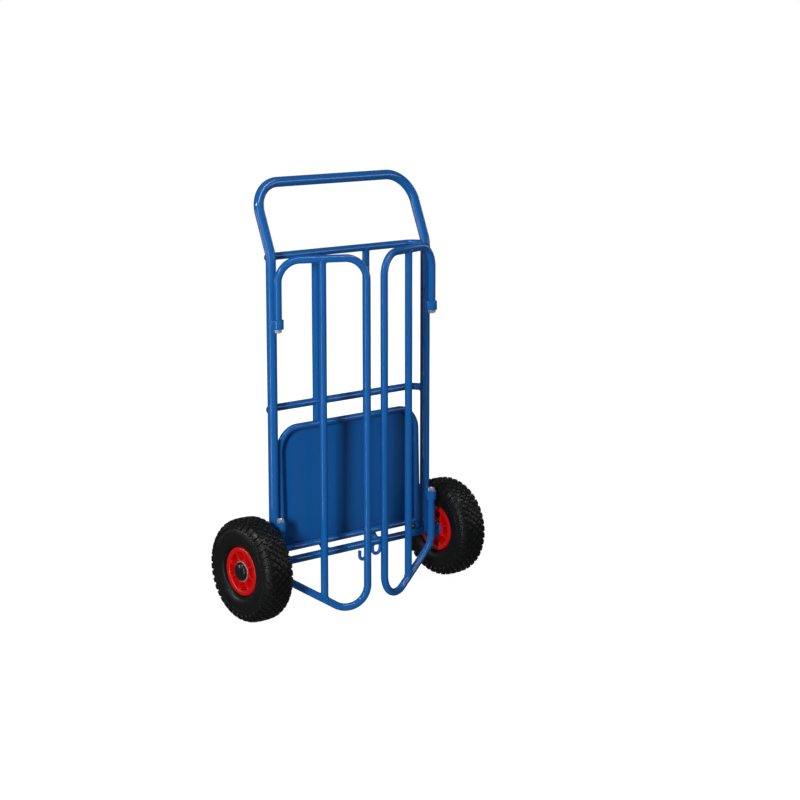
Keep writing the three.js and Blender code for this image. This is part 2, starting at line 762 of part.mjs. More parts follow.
function buildWheelFixings(name, wheel) {
  const axleBore = boreFor(axleDiameter);
  const bushDiameter = axleDiameter + 2 * seatGap + 2 * bushWall;
  const hubEnd = hubLength / 2;
  const outerBush = ring(bushDiameter, axleBore, hubEnd - bushLength, hubEnd);
  const innerBush = ring(bushDiameter, axleBore, -hubEnd, bushLength - hubEnd);
  add(`wheel_bush_outer_${name}`, outerBush, whiteNylon, wheel);
  add(`wheel_bush_inner_${name}`, innerBush, whiteNylon, wheel);
  const washerEnd = washerFace + washerThickness;
  add(`wheel_washer_${name}`, ring(washerDiameter, axleBore, washerFace, washerEnd), zincSteel, wheel);
  const clip = ring(clipDiameter, axleBore, capFace, capFace + clipThickness);
  add(`wheel_clip_${name}`, clip, zincSteel, wheel);
  const [outerDome, innerDome] = [0, capWall].map((wall) => {
    return Array.from({ length: domeSteps + 1 }, (_, i) => {
      const angle = (i / domeSteps) * (Math.PI / 2);
      return [(capDiameter / 2 - wall) * Math.cos(angle), capFace + (capHeight - wall) * Math.sin(angle)];
    });
  });
  innerDome.at(-1)[0] = 0;
  outerDome.at(-1)[0] = 0;
  add(`hub_cap_${name}`, turned([...outerDome.reverse(), ...innerDome]), blackPlastic, wheel);
}

buildFrame();
buildAxle();
buildHooks();
buildCollars();
buildWing('left', -1, leftWingDegrees);
buildWing('right', 1, rightWingDegrees);
buildToePlate();
buildPlatePivots();
bothSides.forEach(([name, side]) => buildWheel(name, side));

export default truck;
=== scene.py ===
import math
import random

import bmesh
import bpy
import numpy as np
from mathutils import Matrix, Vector


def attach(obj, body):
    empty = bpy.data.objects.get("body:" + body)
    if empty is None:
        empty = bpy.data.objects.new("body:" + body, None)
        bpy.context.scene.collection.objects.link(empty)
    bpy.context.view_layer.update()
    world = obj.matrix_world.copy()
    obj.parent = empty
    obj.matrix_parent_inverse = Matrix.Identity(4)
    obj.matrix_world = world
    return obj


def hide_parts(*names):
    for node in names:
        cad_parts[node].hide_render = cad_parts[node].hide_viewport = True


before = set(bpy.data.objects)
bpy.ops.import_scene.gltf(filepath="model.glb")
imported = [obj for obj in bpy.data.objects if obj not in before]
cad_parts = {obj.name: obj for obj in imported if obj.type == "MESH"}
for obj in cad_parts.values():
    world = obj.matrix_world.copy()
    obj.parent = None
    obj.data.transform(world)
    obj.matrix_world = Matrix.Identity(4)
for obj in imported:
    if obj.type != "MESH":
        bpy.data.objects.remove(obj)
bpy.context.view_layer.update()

# A hand truck of bent and welded tube. Shapes are drawn in millimetres and turned into metres
# when a piece is made. X runs along the axle, -Y is the front, Z is up.
METRES_PER_MM = 0.001
dice = random.Random(7)

# Facets: sides of round sections, and degrees for each step of a bend
TUBE_SIDES = 40
BORE_SIDES = 24
TURNED_SIDES = 64
BEND_STEP = 3.0

# Sizes shared with the CAD part
AXLE_HEIGHT = 130.0
AXLE_RADIUS = 10.0
AXLE_HALF = 359.4
WHEEL_X = 319.5
UPRIGHT_X = 249.0
UPRIGHT_RADIUS = 12.5
HANDLE_TOP = 1067.0
HANDLE_BEND = 898.0
HANDLE_LEAN = math.radians(22.4)
HANDLE_SETBACK = (HANDLE_TOP - HANDLE_BEND) * math.tan(HANDLE_LEAN)
LEAN_RADIUS = 60.0
CORNER_RADIUS = 75.0
BAR_RADIUS = 9.25
BAR_SETBACK = 38.6
UPPER_BAR = 890.5
MIDDLE_BAR = 514.8
BAR_END = math.radians(70)
BAR_END_RADIUS = 30.0
BAR_BEND_X = UPRIGHT_X - BAR_SETBACK / math.tan(BAR_END)
CENTRE_X = 82.0
CENTRE_BEND = AXLE_HEIGHT + BAR_SETBACK
CENTRE_RADIUS = 40.0
WING_RADIUS = 9.5
WING_TOP = 889.0
WING_REACH = 223.0
WING_BAR_REACH = 111.0
WING_ELBOW = 101.0
WING_BEND_RADIUS = 55.0
WING_ELBOW_RADIUS = 45.0
WING_ANGLES = {"left": 23.7, "right": 16.1}
HINGE_Y = -26.3
COLLAR_RADIUS = 13.5
COLLAR_HEIGHT = 23.0
UPPER_COLLAR = 733.6
LOWER_COLLAR = 231.2
PIN_RADIUS = 5.0
NUT_FLATS = 17.0
NUT_HEIGHT = 7.2
PLATE_TUBE_RADIUS = 8.0
PLATE_X = 224.0
PLATE_LENGTH = 317.5
PLATE_CORNER = 58.0
PLATE_REAR = 13.8
PLATE_LEAN = math.radians(1.5)
PLATE_SHEET = 2.0
PIVOT_Y = 1.5
PIVOT_Z = 148.0
WALL = 1.5
WING_WALL = 2.0
GAP = 0.3
# A welded bar starts this far inside its host: from the host's skin or from its axis
BAR_SEAT = 3.0
HUB_HALF = 30.0
SLEEVE_RADIUS = 14.0
FLANGE_RADIUS = 21.5
FLANGE_THICKNESS = 5.0
WIRE_RADIUS = 4.5
WIRE_START = 5.0
HOOK_LEG = 48.0
HOOK_TIP = 26.0
HOOK_DEPTH = 40.0
HOOK_BEND = 11.0
HOOK_TIP_HEIGHT = 13.0
LOOP_MIDDLE = 82.0
LOOP_HALF = 13.0
LOOP_DEPTH = 33.0
WIRE_STEP = 6.0
SIDES = (("left", -1), ("right", 1))


# Materials

RAMP_START, RAMP_END = 0.3, 0.7


def new_material(name):
    """An empty material, its node tree and its shader"""
    material = bpy.data.materials.new(name)
    material.use_nodes = True
    tree = material.node_tree
    shader = tree.nodes["Principled BSDF"]
    return material, tree, shader


def noise(tree, scale, detail, roughness):
    """A noise in object space, as a grey value"""
    coordinates = tree.nodes.new("ShaderNodeTexCoord")
    made = tree.nodes.new("ShaderNodeTexNoise")
    made.inputs["Scale"].default_value = scale
    made.inputs["Detail"].default_value = detail
    made.inputs["Roughness"].default_value = roughness
    tree.links.new(coordinates.outputs["Object"], made.inputs["Vector"])
    return made.outputs["Fac"]


def ramp(tree, source, low, high):
    """Maps a grey value onto two colours or, with plain numbers, onto two greys"""
    made = tree.nodes.new("ShaderNodeValToRGB")
    made.color_ramp.elements[0].position = RAMP_START
    made.color_ramp.elements[1].position = RAMP_END
    for element, value in zip(made.color_ramp.elements, (low, high)):
        colour = value if isinstance(value, tuple) else (value, value, value)
        element.color = (*colour, 1.0)
    tree.links.new(source, made.inputs["Fac"])
    return made.outputs["Color"]


def finish(name, patches, colours, sheen, roughness, relief=None, depth=0.0, strength=0.0, **settings):
    """A material whose colour and roughness drift between two values, over a fine relief. Patches,
    sheen and relief are each the scale, detail and roughness of a noise, and depth is in metres."""
    material, tree, shader = new_material(name)
    tree.links.new(ramp(tree, noise(tree, *patches), *colours), shader.inputs["Base Color"])
    tree.links.new(ramp(tree, noise(tree, *sheen), *roughness), shader.inputs["Roughness"])
    if relief:
        bump = tree.nodes.new("ShaderNodeBump")
        bump.inputs["Distance"].default_value = depth
        bump.inputs["Strength"].default_value = strength
        tree.links.new(noise(tree, *relief), bump.inputs["Height"])
        tree.links.new(bump.outputs["Normal"], shader.inputs["Normal"])
    for setting, value in settings.items():
        shader.inputs[setting.replace("_", " ")].default_value = value
    return material


# Blue powder coat: a little uneven in tone and gloss, with orange peel
PAINT = finish(
    "blue_powder_coat", (7.0, 2.0, 0.5), ((0.0070, 0.101, 0.350), (0.0080, 0.107, 0.368)),
    sheen=(25.0, 2.0, 0.5), roughness=(0.11, 0.14),
    relief=(380.0, 1.0, 0.5), depth=0.00002, strength=0.05,
)
# The same paint, over the ripples of a weld
WELD = finish(
    "blue_powder_coat_weld", (90.0, 3.0, 0.5), ((0.0064, 0.092, 0.322), (0.0080, 0.107, 0.368)),
    sheen=(900.0, 2.0, 0.5), roughness=(0.24, 0.32),
    relief=(900.0, 2.0, 0.5), depth=0.0001, strength=0.3,
)
# Moulded red plastic with a faint grain
RED = finish(
    "red_moulded_plastic", (30.0, 2.0, 0.5), ((0.53, 0.002, 0.002), (0.58, 0.003, 0.003)),
    sheen=(1500.0, 2.0, 0.5), roughness=(0.27, 0.36),
    relief=(1500.0, 2.0, 0.5), depth=0.00004, strength=0.3,
)
# Nearly black tyre rubber with a low gloss
RUBBER = finish(
    "tyre_rubber", (40.0, 5.0, 0.6), ((0.0042, 0.0044, 0.0044), (0.0070, 0.0074, 0.0074)),
    sheen=(1100.0, 3.0, 0.5), roughness=(0.30, 0.42),
    relief=(1100.0, 3.0, 0.5), depth=0.00008, strength=0.3,
    Specular_IOR_Level=0.28,
)
# Glossy black plastic
BLACK = finish(
    "black_plastic", (80.0, 3.0, 0.5), ((0.006, 0.0062, 0.0065), (0.0095, 0.0098, 0.0105)),
    sheen=(80.0, 3.0, 0.5), roughness=(0.2, 0.3),
    relief=(900.0, 2.0, 0.5), depth=0.00003, strength=0.2,
)
# White nylon, slightly waxy
NYLON = finish(
    "white_nylon", (200.0, 3.0, 0.5), ((0.66, 0.65, 0.60), (0.76, 0.75, 0.71)),
    sheen=(200.0, 3.0, 0.5), roughness=(0.4, 0.5),
    Subsurface_Weight=0.05,
)
# Bright zinc plate with a fine crystal and faint stains
ZINC = finish(
    "zinc_plate", (260.0, 4.0, 0.6), ((0.66, 0.67, 0.67), (0.84, 0.85, 0.85)),
    sheen=(260.0, 4.0, 0.6), roughness=(0.2, 0.38),
    relief=(2200.0, 3.0, 0.5), depth=0.00004, strength=0.3,
    Metallic=0.75,
)


# Shapes: each is a pair of corners in millimetres and faces

# Corners that turn by less stay sharp, and a rounding takes this share of its shorter side at most
LEAST_TURN = 0.05
CORNER_SHARE = 0.48
# Routes steeper than this start from the slanted direction, the others from upright
STEEP = 0.8
SLANTED = (0.3, 0.9, 0.2)
# Metres within which corners merge, and the angles above which edges stay sharp
MERGE_DISTANCE = 1e-6
SHARP = 40.0
SHARP_NUT = 25.0
SHARP_MOULDED = 35.0
SHARP_DOME = 50.0


def unit(v):
    return v / np.linalg.norm(v)


def joined(*shapes):
    """Several shapes as one"""
    corners, faces, base = [], [], 0
    for points, quads in shapes:
        corners.append(np.asarray(points, float))
        faces += [[base + i for i in quad] for quad in quads]
        base += len(points)
    return np.vstack(corners), faces


def moved(shape, turn=None, shift=(0, 0, 0)):
    """A shape turned about the origin and then shifted"""
    points = np.asarray(shape[0], float)
    if turn is not None:
        points = points @ np.asarray(turn).T
    return points + np.asarray(shift, float), shape[1]


def turn_x(angle):
    c, s = math.cos(angle), math.sin(angle)
    return np.array([[1, 0, 0], [0, c, -s], [0, s, c]])


def turn_y(angle):
    c, s = math.cos(angle), math.sin(angle)
    return np.array([[c, 0, s], [0, 1, 0], [-s, 0, c]])


def turn_z(angle):
    c, s = math.cos(angle), math.sin(angle)
    return np.array([[c, -s, 0], [s, c, 0], [0, 0, 1]])


def bent_route(corners, radii, step=BEND_STEP):
    """Straight runs with a round bend at each inner corner, as points and headings"""
    points = [np.array(c, float) for c in corners]
    heads = [unit(b - a) for a, b in zip(points, points[1:])]
    route = [(points[0], heads[0])]
    for i, radius in enumerate(radii):
        into, out = heads[i], heads[i + 1]
        turn = math.acos(max(-1.0, min(1.0, float(into @ out))))
        inward = unit(out - into * math.cos(turn))
        centre = points[i + 1] - into * radius * math.tan(turn / 2) + inward * radius
        steps = max(2, math.ceil(math.degrees(turn) / step))
        for k in range(steps + 1):
            angle = turn * k / steps
            point = centre - inward * radius * math.cos(angle) + into * radius * math.sin(angle)
            route.append((point, into * math.cos(angle) + inward * math.sin(angle)))
    route.append((points[-1], heads[-1]))
    kept = [route[0]]
    for point, heading in route[1:]:
        if np.linalg.norm(point - kept[-1][0]) > GAP:
            kept.append((point, heading))
    return kept


def frames(route):
    """A pair of cross directions at each station, carried along without twist"""
    first = route[0][1]
    side = unit(np.cross(first, SLANTED if abs(first[2]) > STEEP else (0, 0, 1)))
    pairs = []
    for _, heading in route:
        side = unit(side - heading * float(side @ heading))
        pairs.append((side, np.cross(heading, side)))
    return pairs


def rings(route, radius, sides):
    """Corners of one skin along a route; radius is a number or one number for each station"""
    radii = np.broadcast_to(np.asarray(radius, float), (len(route),))
    angles = np.arange(sides) * 2 * math.pi / sides
    found = []
    for (point, _), (u, v), r in zip(route, frames(route), radii):
        found.append(point + r * (np.outer(np.cos(angles), u) + np.outer(np.sin(angles), v)))
    return np.vstack(found)


def skin(count, sides, base=0, closed=False):
    """The faces between a number of rings that have the same number of sides"""
    faces = []
    for i in range(count if closed else count - 1):
        j = (i + 1) % count
        for k in range(sides):
            m = (k + 1) % sides
            corners = (i * sides + k, i * sides + m, j * sides + m, j * sides + k)
            faces.append([base + corner for corner in corners])
    return faces


def ends(count, sides):
    """The two faces that close a skin at its first and its last ring"""
    last = (count - 1) * sides
    return [list(range(sides))[::-1], [last + k for k in range(sides)]]


def tube(route, radius, wall=WALL, sides=TUBE_SIDES):
    """A hollow tube, open at both ends"""
    outer = rings(route, radius, sides)
    inner = rings(route, radius - wall, sides)
    count = len(route)
    faces = skin(count, sides) + [face[::-1] for face in skin(count, sides, len(outer))]
    last = (count - 1) * sides
    for k in range(sides):
        m = (k + 1) % sides
        faces.append([k, len(outer) + k, len(outer) + m, m])
        faces.append([last + k, last + m, len(outer) + last + m, len(outer) + last + k])
    return np.vstack([outer, inner]), faces


def rod(route, radius, sides=BORE_SIDES, soft=0.8):
    """A solid bar with softened ends"""
    (start, head), (end, tail) = route[0], route[-1]
    body = [(start + head * soft, head)] + route[1:-1] + [(end - tail * soft, tail)]
    route = [(start, head)] + body + [(end, tail)]
    radii = np.broadcast_to(np.asarray(radius, float), (len(body),))
    radii = [radii[0] - soft, *radii, radii[-1] - soft]
    return rings(route, radii, sides), skin(len(route), sides) + ends(len(route), sides)


def rounded(outline, radius, steps=4):
    """A closed flat outline with its corners rounded; radius is one number or one for each corner"""
    points = [np.array(p, float) for p in outline]
    count = len(points)
    radii = [radius] * count if isinstance(radius, (int, float)) else list(radius)
    found = []
    for i, corner in enumerate(points):
        before, after = points[i - 1], points[(i + 1) % count]
        into, out = corner - before, after - corner
        lengths = np.linalg.norm(into), np.linalg.norm(out)
        into, out = into / lengths[0], out / lengths[1]
        turn = math.acos(max(-1.0, min(1.0, float(into @ out))))
        if radii[i] <= 0 or turn < LEAST_TURN:
            found.append(corner)
            continue
        reach = min(radii[i] * math.tan(turn / 2), CORNER_SHARE * min(lengths))
        r = reach / math.tan(turn / 2)
        inward = unit(out - into * math.cos(turn))
        centre = corner - into * reach + inward * r
        for k in range(steps + 1):
            angle = turn * k / steps
            found.append(centre - inward * r * math.cos(angle) + into * r * math.sin(angle))
    return found


def turned(outline, sides=TURNED_SIDES):
    """A closed outline of (radius, place along X) turned about the X axis"""
    flat = np.array(outline, float)
    angles = np.arange(sides) * 2 * math.pi / sides
    corners = np.vstack([
        np.column_stack([flat[:, 1], flat[:, 0] * math.cos(a), flat[:, 0] * math.sin(a)]) for a in angles
    ])
    return corners, skin(sides, len(flat), closed=True)


def solid_of(outline, depth, bevel, steps=4):
    """A flat plate along Z from an outline of X and Y, with rounded edges all round"""
    middle = np.mean(np.array(outline, float), axis=0)
    flat = np.array(outline, float)
    before, after = np.roll(flat, 1, axis=0), np.roll(flat, -1, axis=0)
    along = after - before
    along /= np.linalg.norm(along, axis=1)[:, None]
    inward = np.column_stack([-along[:, 1], along[:, 0]])
    if float(np.sum(inward * (middle - flat))) < 0:
        inward = -inward
    levels = []
    for k in range(steps + 1):
        angle = math.pi / 2 * k / steps
        levels.append((bevel * (1 - math.sin(angle)), bevel * (1 - math.cos(angle))))
    levels += [(inset, depth - height) for inset, height in levels[::-1]]
    corners = np.vstack([
        np.column_stack([flat + inward * inset, np.full(len(flat), height)]) for inset, height in levels
    ])
    return corners, skin(len(levels), len(flat)) + ends(len(levels), len(flat))


def piece(name, shape, material, body, replaces=(), sharp=SHARP):
    """A mesh object from a shape, riding on a body and standing for CAD nodes"""
    points, faces = shape
    mesh = bpy.data.meshes.new(name)
    mesh.from_pydata((np.asarray(points) * METRES_PER_MM).tolist(), [], faces)
    work = bmesh.new()
    work.from_mesh(mesh)
    bmesh.ops.remove_doubles(work, verts=work.verts, dist=MERGE_DISTANCE)
    bmesh.ops.recalc_face_normals(work, faces=work.faces)
    work.to_mesh(mesh)
    work.free()
    mesh.polygons.foreach_set("use_smooth", [True] * len(mesh.polygons))
    mesh.set_sharp_from_angle(angle=math.radians(sharp))
    mesh.materials.append(material)
    made = bpy.data.objects.new(name, mesh)
    bpy.context.scene.collection.objects.link(made)
    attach(made, body)
    if replaces:
        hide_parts(*replaces)


# Weld beads: radii, the ripple along a bead, and the points round a branch
BEAD = 1.7
WIDE_BEAD = 1.9
FINE_BEAD = 1.3
TACK_BEAD = 1.0
TACK_HALF = 9.0
BEAD_STEP = 0.9
BEAD_SIDES = 10
LEAST_STATIONS = 12
RIPPLE_LENGTH = 2.7
RIPPLE = 0.10
JITTER = 0.05
TAPER_START = 0.45
TAPER_STATIONS = 3
SADDLE_POINTS = 72


def bead(path, radius, closed=True):
    """A rippled bead along a path of points"""
    points = np.array(path, float)
    if closed:
        points = np.vstack([points, points[:1]])
    lengths = np.concatenate([[0], np.cumsum(np.linalg.norm(np.diff(points, axis=0), axis=1))])
    count = max(LEAST_STATIONS, int(lengths[-1] / BEAD_STEP))
    at = np.linspace(0, lengths[-1], count, endpoint=not closed)
    line = np.column_stack([np.interp(at, lengths, points[:, k]) for k in range(3)])
    if closed:
        heads = np.roll(line, -1, axis=0) - np.roll(line, 1, axis=0)
    else:
        heads = np.gradient(line, axis=0)
    route = [(p, unit(h)) for p, h in zip(line, heads)]
    radii = []
    for i, s in enumerate(at):
        ripple = RIPPLE * math.sin(2 * math.pi * s / RIPPLE_LENGTH) + dice.uniform(-JITTER, JITTER)
        from_end = min(i, count - 1 - i)
        taper = 1.0 if closed else min(1.0, TAPER_START + (1 - TAPER_START) * from_end / TAPER_STATIONS)
        radii.append(radius * taper * (1 + ripple))
    faces = skin(len(route), BEAD_SIDES, closed=closed)
    if not closed:
        faces += ends(len(route), BEAD_SIDES)
    return rings(route, radii, BEAD_SIDES), faces


def saddle(start, heading, branch, host_point, host_heading, host, floor=None):
    """Where a round branch leaves a round host: the curve that its weld follows"""
    start, heading = np.array(start, float), unit(np.array(heading, float))
    host_point, host_heading = np.array(host_point, float), unit(np.array(host_heading, float))
    u = unit(np.cross(heading, host_heading))
    v = np.cross(heading, u)
    found = []
    for angle in np.radians(np.arange(SADDLE_POINTS) * 360 / SADDLE_POINTS):
        at = start + branch * (math.cos(angle) * u + math.sin(angle) * v)
        gap = at - host_point
        gap = gap - host_heading * float(gap @ host_heading)
        run = heading - host_heading * float(heading @ host_heading)
        a, b, c = float(run @ run), 2 * float(gap @ run), float(gap @ gap) - host * host
        root = b * b - 4 * a * c
        if root >= 0:
            found.append(at + heading * (-b + math.sqrt(root)) / (2 * a))
        else:
            found.append(at + heading * (-b / (2 * a) if floor is None else floor))
    return found


# The welded frame

def build_main_tube():
    frame_route = bent_route([
        (-UPRIGHT_X, 0, AXLE_HEIGHT),
        (-UPRIGHT_X, 0, HANDLE_BEND),
        (-UPRIGHT_X, HANDLE_SETBACK, HANDLE_TOP),
        (UPRIGHT_X, HANDLE_SETBACK, HANDLE_TOP),
        (UPRIGHT_X, 0, HANDLE_BEND),
        (UPRIGHT_X, 0, AXLE_HEIGHT),
    ], [LEAN_RADIUS, CORNER_RADIUS, CORNER_RADIUS, LEAN_RADIUS])
    piece("frame_tube", tube(frame_route, UPRIGHT_RADIUS), PAINT, "frame", ["main_frame_tube"])


def build_bars():
    inset = unit(np.array([BAR_BEND_X - UPRIGHT_X, BAR_SETBACK, 0.0])) * (UPRIGHT_RADIUS - BAR_SEAT)
    for name, cad_name, height in (("top", "upper", UPPER_BAR), ("middle", "middle", MIDDLE_BAR)):
        route = bent_route([
            (-UPRIGHT_X - inset[0], inset[1], height),
            (-BAR_BEND_X, BAR_SETBACK, height),
            (BAR_BEND_X, BAR_SETBACK, height),
            (UPRIGHT_X + inset[0], inset[1], height),
        ], [BAR_END_RADIUS, BAR_END_RADIUS])
        piece(f"crossbar_{name}", tube(route, BAR_RADIUS), PAINT, "frame", [f"{cad_name}_crossbar"])
    for name, side in SIDES:
        x = side * CENTRE_X
        upper = bent_route([
            (x, BAR_SETBACK, UPPER_BAR - BAR_SEAT), (x, BAR_SETBACK, MIDDLE_BAR + BAR_SEAT),
        ], [])
        lower = bent_route([
            (x, BAR_SETBACK, MIDDLE_BAR - BAR_SEAT),
            (x, BAR_SETBACK, CENTRE_BEND),
            (x, BAR_SEAT, AXLE_HEIGHT + BAR_SEAT),
        ], [CENTRE_RADIUS])
        for level, cad_level, route in (("top", "upper", upper), ("low", "lower", lower)):
            replaced = [f"centre_bar_{cad_level}_{name}"]
            piece(f"centre_bar_{level}_{name}", tube(route, BAR_RADIUS), PAINT, "frame", replaced)


def build_axle():
    axle = bent_route([(-AXLE_HALF, 0, AXLE_HEIGHT), (AXLE_HALF, 0, AXLE_HEIGHT)], [])
    piece("axle_bar", rod(axle, AXLE_RADIUS, TUBE_SIDES, soft=1.0), PAINT, "frame", ["axle"])
    bore_edge, end_edge, fillet, flange_edge = 0.3, 0.6, 2.0, 1.0
    for name, side in SIDES:
        sleeve_from, flange_to = UPRIGHT_X + UPRIGHT_RADIUS + GAP, WHEEL_X - HUB_HALF - GAP
        flange_from = flange_to - FLANGE_THICKNESS
        bore = AXLE_RADIUS + GAP
        outline = rounded([
            (bore, side * sleeve_from), (SLEEVE_RADIUS, side * sleeve_from),
            (SLEEVE_RADIUS, side * flange_from), (FLANGE_RADIUS, side * flange_from),
            (FLANGE_RADIUS, side * flange_to), (bore, side * flange_to),
        ], [bore_edge, end_edge, fillet, flange_edge, flange_edge, bore_edge])
        shape = moved(turned(outline), shift=(0, 0, AXLE_HEIGHT))
        piece(f"shoulder_{name}", shape, PAINT, "frame", [f"axle_shoulder_{name}"])


def build_hooks():
    bottom, start = AXLE_HEIGHT - HOOK_DEPTH, AXLE_HEIGHT - WIRE_START
    hook = bent_route([
        (HOOK_LEG, 0, start), (HOOK_LEG, 0, bottom), (HOOK_TIP, 0, bottom),
        (HOOK_TIP, 0, bottom + HOOK_BEND + HOOK_TIP_HEIGHT),
    ], [HOOK_BEND, HOOK_BEND], WIRE_STEP)
    piece("hook", rod(hook, WIRE_RADIUS), PAINT, "frame", ["axle_hook"])
    bottom, near, far = AXLE_HEIGHT - LOOP_DEPTH, LOOP_MIDDLE - LOOP_HALF, LOOP_MIDDLE + LOOP_HALF
    loop = bent_route([
        (near, 0, start), (near, 0, bottom), (far, 0, bottom), (far, 0, start),
    ], [LOOP_HALF, LOOP_HALF], WIRE_STEP)
    piece("loop", rod(loop, WIRE_RADIUS), PAINT, "frame", ["axle_loop"])


NUT_SIDES = 72
NUT_CHAMFER = math.radians(30)
NUT_CIRCLE = 0.97
NUT_BORE_EDGE = 0.6


def hexagon_radius(angle, flats):
    """From the middle of a hexagon to its edge"""
    part = (angle + math.pi / 6) % (math.pi / 3) - math.pi / 6
    return flats / 2 / math.cos(part)


def hex_nut(flats, height, bore):
    """A hexagon chamfered at both faces, standing on Z = 0"""
    sides, edge = NUT_SIDES, NUT_BORE_EDGE
    circle = flats / 2 * NUT_CIRCLE
    corners = []
    for a in np.arange(sides) * 2 * math.pi / sides:
        reach = hexagon_radius(a, flats)
        drop = (reach - circle) * math.tan(NUT_CHAMFER)
        profile = [
            (bore, edge), (bore + edge, 0.0), (circle, 0.0), (reach, drop),
            (reach, height - drop), (circle, height), (bore + edge, height), (bore, height - edge),
        ]
        corners += [(r * math.cos(a), r * math.sin(a), z) for r, z in profile]
    return np.array(corners), skin(sides, len(profile), closed=True)


def threaded_pin(plug, shank, plug_length, shank_length, thread_from):
    """A turned pin along +X: a plug, then a shank whose end is threaded"""
    pitch, depth, crest, margin = 1.5, 0.75, 0.2, 1.0
    plug_edge, point = 0.6, 0.9
    outline = [
        (0, -plug_length), (plug - plug_edge, -plug_length), (plug, plug_edge - plug_length),
        (plug, 0), (shank, 0),
    ]
    at = thread_from
    while at + pitch < shank_length - margin:
        outline += [(shank, at), (shank, at + crest), (shank - depth, at + pitch / 2), (shank, at + pitch)]
        at += pitch
    outline += [(shank, shank_length - point), (shank - point, shank_length), (0, shank_length)]
    return turned(outline, TUBE_SIDES)


def build_collars():
    for name, side in SIDES:
        for level, height in (("upper", UPPER_COLLAR), ("lower", LOWER_COLLAR)):
            half, bore, edge = COLLAR_HEIGHT / 2, PIN_RADIUS + GAP, 0.9
            outline = rounded([
                (bore, -half), (COLLAR_RADIUS, -half), (COLLAR_RADIUS, half), (bore, half),
            ], edge)
            shape = moved(turned(outline), turn_y(-math.pi / 2), (side * UPRIGHT_X, HINGE_Y, height))
            piece(f"collar_{level}_{name}", shape, PAINT, "frame", [f"wing_collar_{level}_{name}"])


# The fillet between upright and collar: its radius, how deep it sinks into both, and half its length
COLLAR_BEAD = 2.6
COLLAR_BEAD_SINK = 0.7
COLLAR_BEAD_HALF = 9.5
# Beads round the axle on the inner side of each shoulder: place along X and stretch in degrees
AXLE_BEAD_RING = 10.3
AXLE_BEADS = ((232.3, (-60, 240, 40)), (236.2, (20, 160, 24)))
UPRIGHT_BEAD_RISE = 0.4


def build_frame_welds():
    beads = []
    up, across = np.array([0.0, 0, 1]), np.array([1.0, 0, 0])
    for _, side in SIDES:
        upright = np.array([side * UPRIGHT_X, 0.0, AXLE_HEIGHT])
        inset = np.array([side * (BAR_BEND_X - UPRIGHT_X), BAR_SETBACK, 0.0])
        for height in (UPPER_BAR, MIDDLE_BAR):
            start = upright + up * (height - AXLE_HEIGHT)
            beads.append(bead(saddle(start, inset, BAR_RADIUS, upright, up, UPRIGHT_RADIUS), WIDE_BEAD))
        centre = np.array([side * CENTRE_X, BAR_SETBACK, 0.0])
        for height, heading in ((UPPER_BAR, -up), (MIDDLE_BAR, up), (MIDDLE_BAR, -up)):
            at = centre + up * height
            beads.append(bead(saddle(at, heading, BAR_RADIUS, at, across, BAR_RADIUS), BEAD))
        axle = np.array([side * CENTRE_X, 0.0, AXLE_HEIGHT])
        beads.append(bead(saddle(axle, (0, 1, 1), BAR_RADIUS, axle, across, AXLE_RADIUS), WIDE_BEAD))
        foot = saddle(upright, up, UPRIGHT_RADIUS, upright, across, AXLE_RADIUS, UPRIGHT_BEAD_RISE)
        beads.append(bead(foot, BEAD))
        reach = COLLAR_BEAD - COLLAR_BEAD_SINK
        a, b = UPRIGHT_RADIUS + reach, COLLAR_RADIUS + reach
        y = (HINGE_Y ** 2 + a * a - b * b) / (2 * HINGE_Y)
        x = math.sqrt(a * a - y * y)
        for height in (UPPER_COLLAR, LOWER_COLLAR):
            for edge in (-1, 1):
                rises = np.linspace(-COLLAR_BEAD_HALF, COLLAR_BEAD_HALF, LEAST_STATIONS)
                line = [(side * UPRIGHT_X + edge * x, y, height + z) for z in rises]
                beads.append(bead(line, COLLAR_BEAD, closed=False))
    for x in (HOOK_LEG, LOOP_MIDDLE - LOOP_HALF, LOOP_MIDDLE + LOOP_HALF):
        at = np.array([x, 0.0, AXLE_HEIGHT])
        beads.append(bead(saddle(at, -up, WIRE_RADIUS, at, across, AXLE_RADIUS), FINE_BEAD))
    for _, side in SIDES:
        for place, stretch in AXLE_BEADS:
            ring = [(side * place, AXLE_BEAD_RING * math.cos(a), AXLE_HEIGHT + AXLE_BEAD_RING * math.sin(a))
                    for a in np.radians(np.linspace(*stretch))]
            beads.append(bead(ring, FINE_BEAD, closed=False))
    piece("frame_welds", joined(*beads), WELD, "frame")


# The wings

FOOT = WING_RADIUS
BOTTOM_CENTRE = WING_REACH - WING_BEND_RADIUS
ABOVE_ELBOW = FOOT + WING_BEND_RADIUS - WING_ELBOW
DIAGONAL = (math.asin(WING_BEND_RADIUS / math.hypot(BOTTOM_CENTRE, ABOVE_ELBOW))
            - math.atan2(ABOVE_ELBOW, BOTTOM_CENTRE))
DIAGONAL_FOOT = BOTTOM_CENTRE - WING_BEND_RADIUS * math.tan(DIAGONAL / 2)
PIN_PLUG_LENGTH = 18.0
PIN_PAST_NUT = 1.5
PIN_PLAIN = COLLAR_HEIGHT + 1.0
NUT_CLEARANCE = 0.15
# The ring of paint round each pin, at the end of the tube
PAINT_RING = 7.2
PAINT_RING_BEAD = 0.28
PAINT_RING_SINK = 0.1
PAINT_RING_POINTS = 40


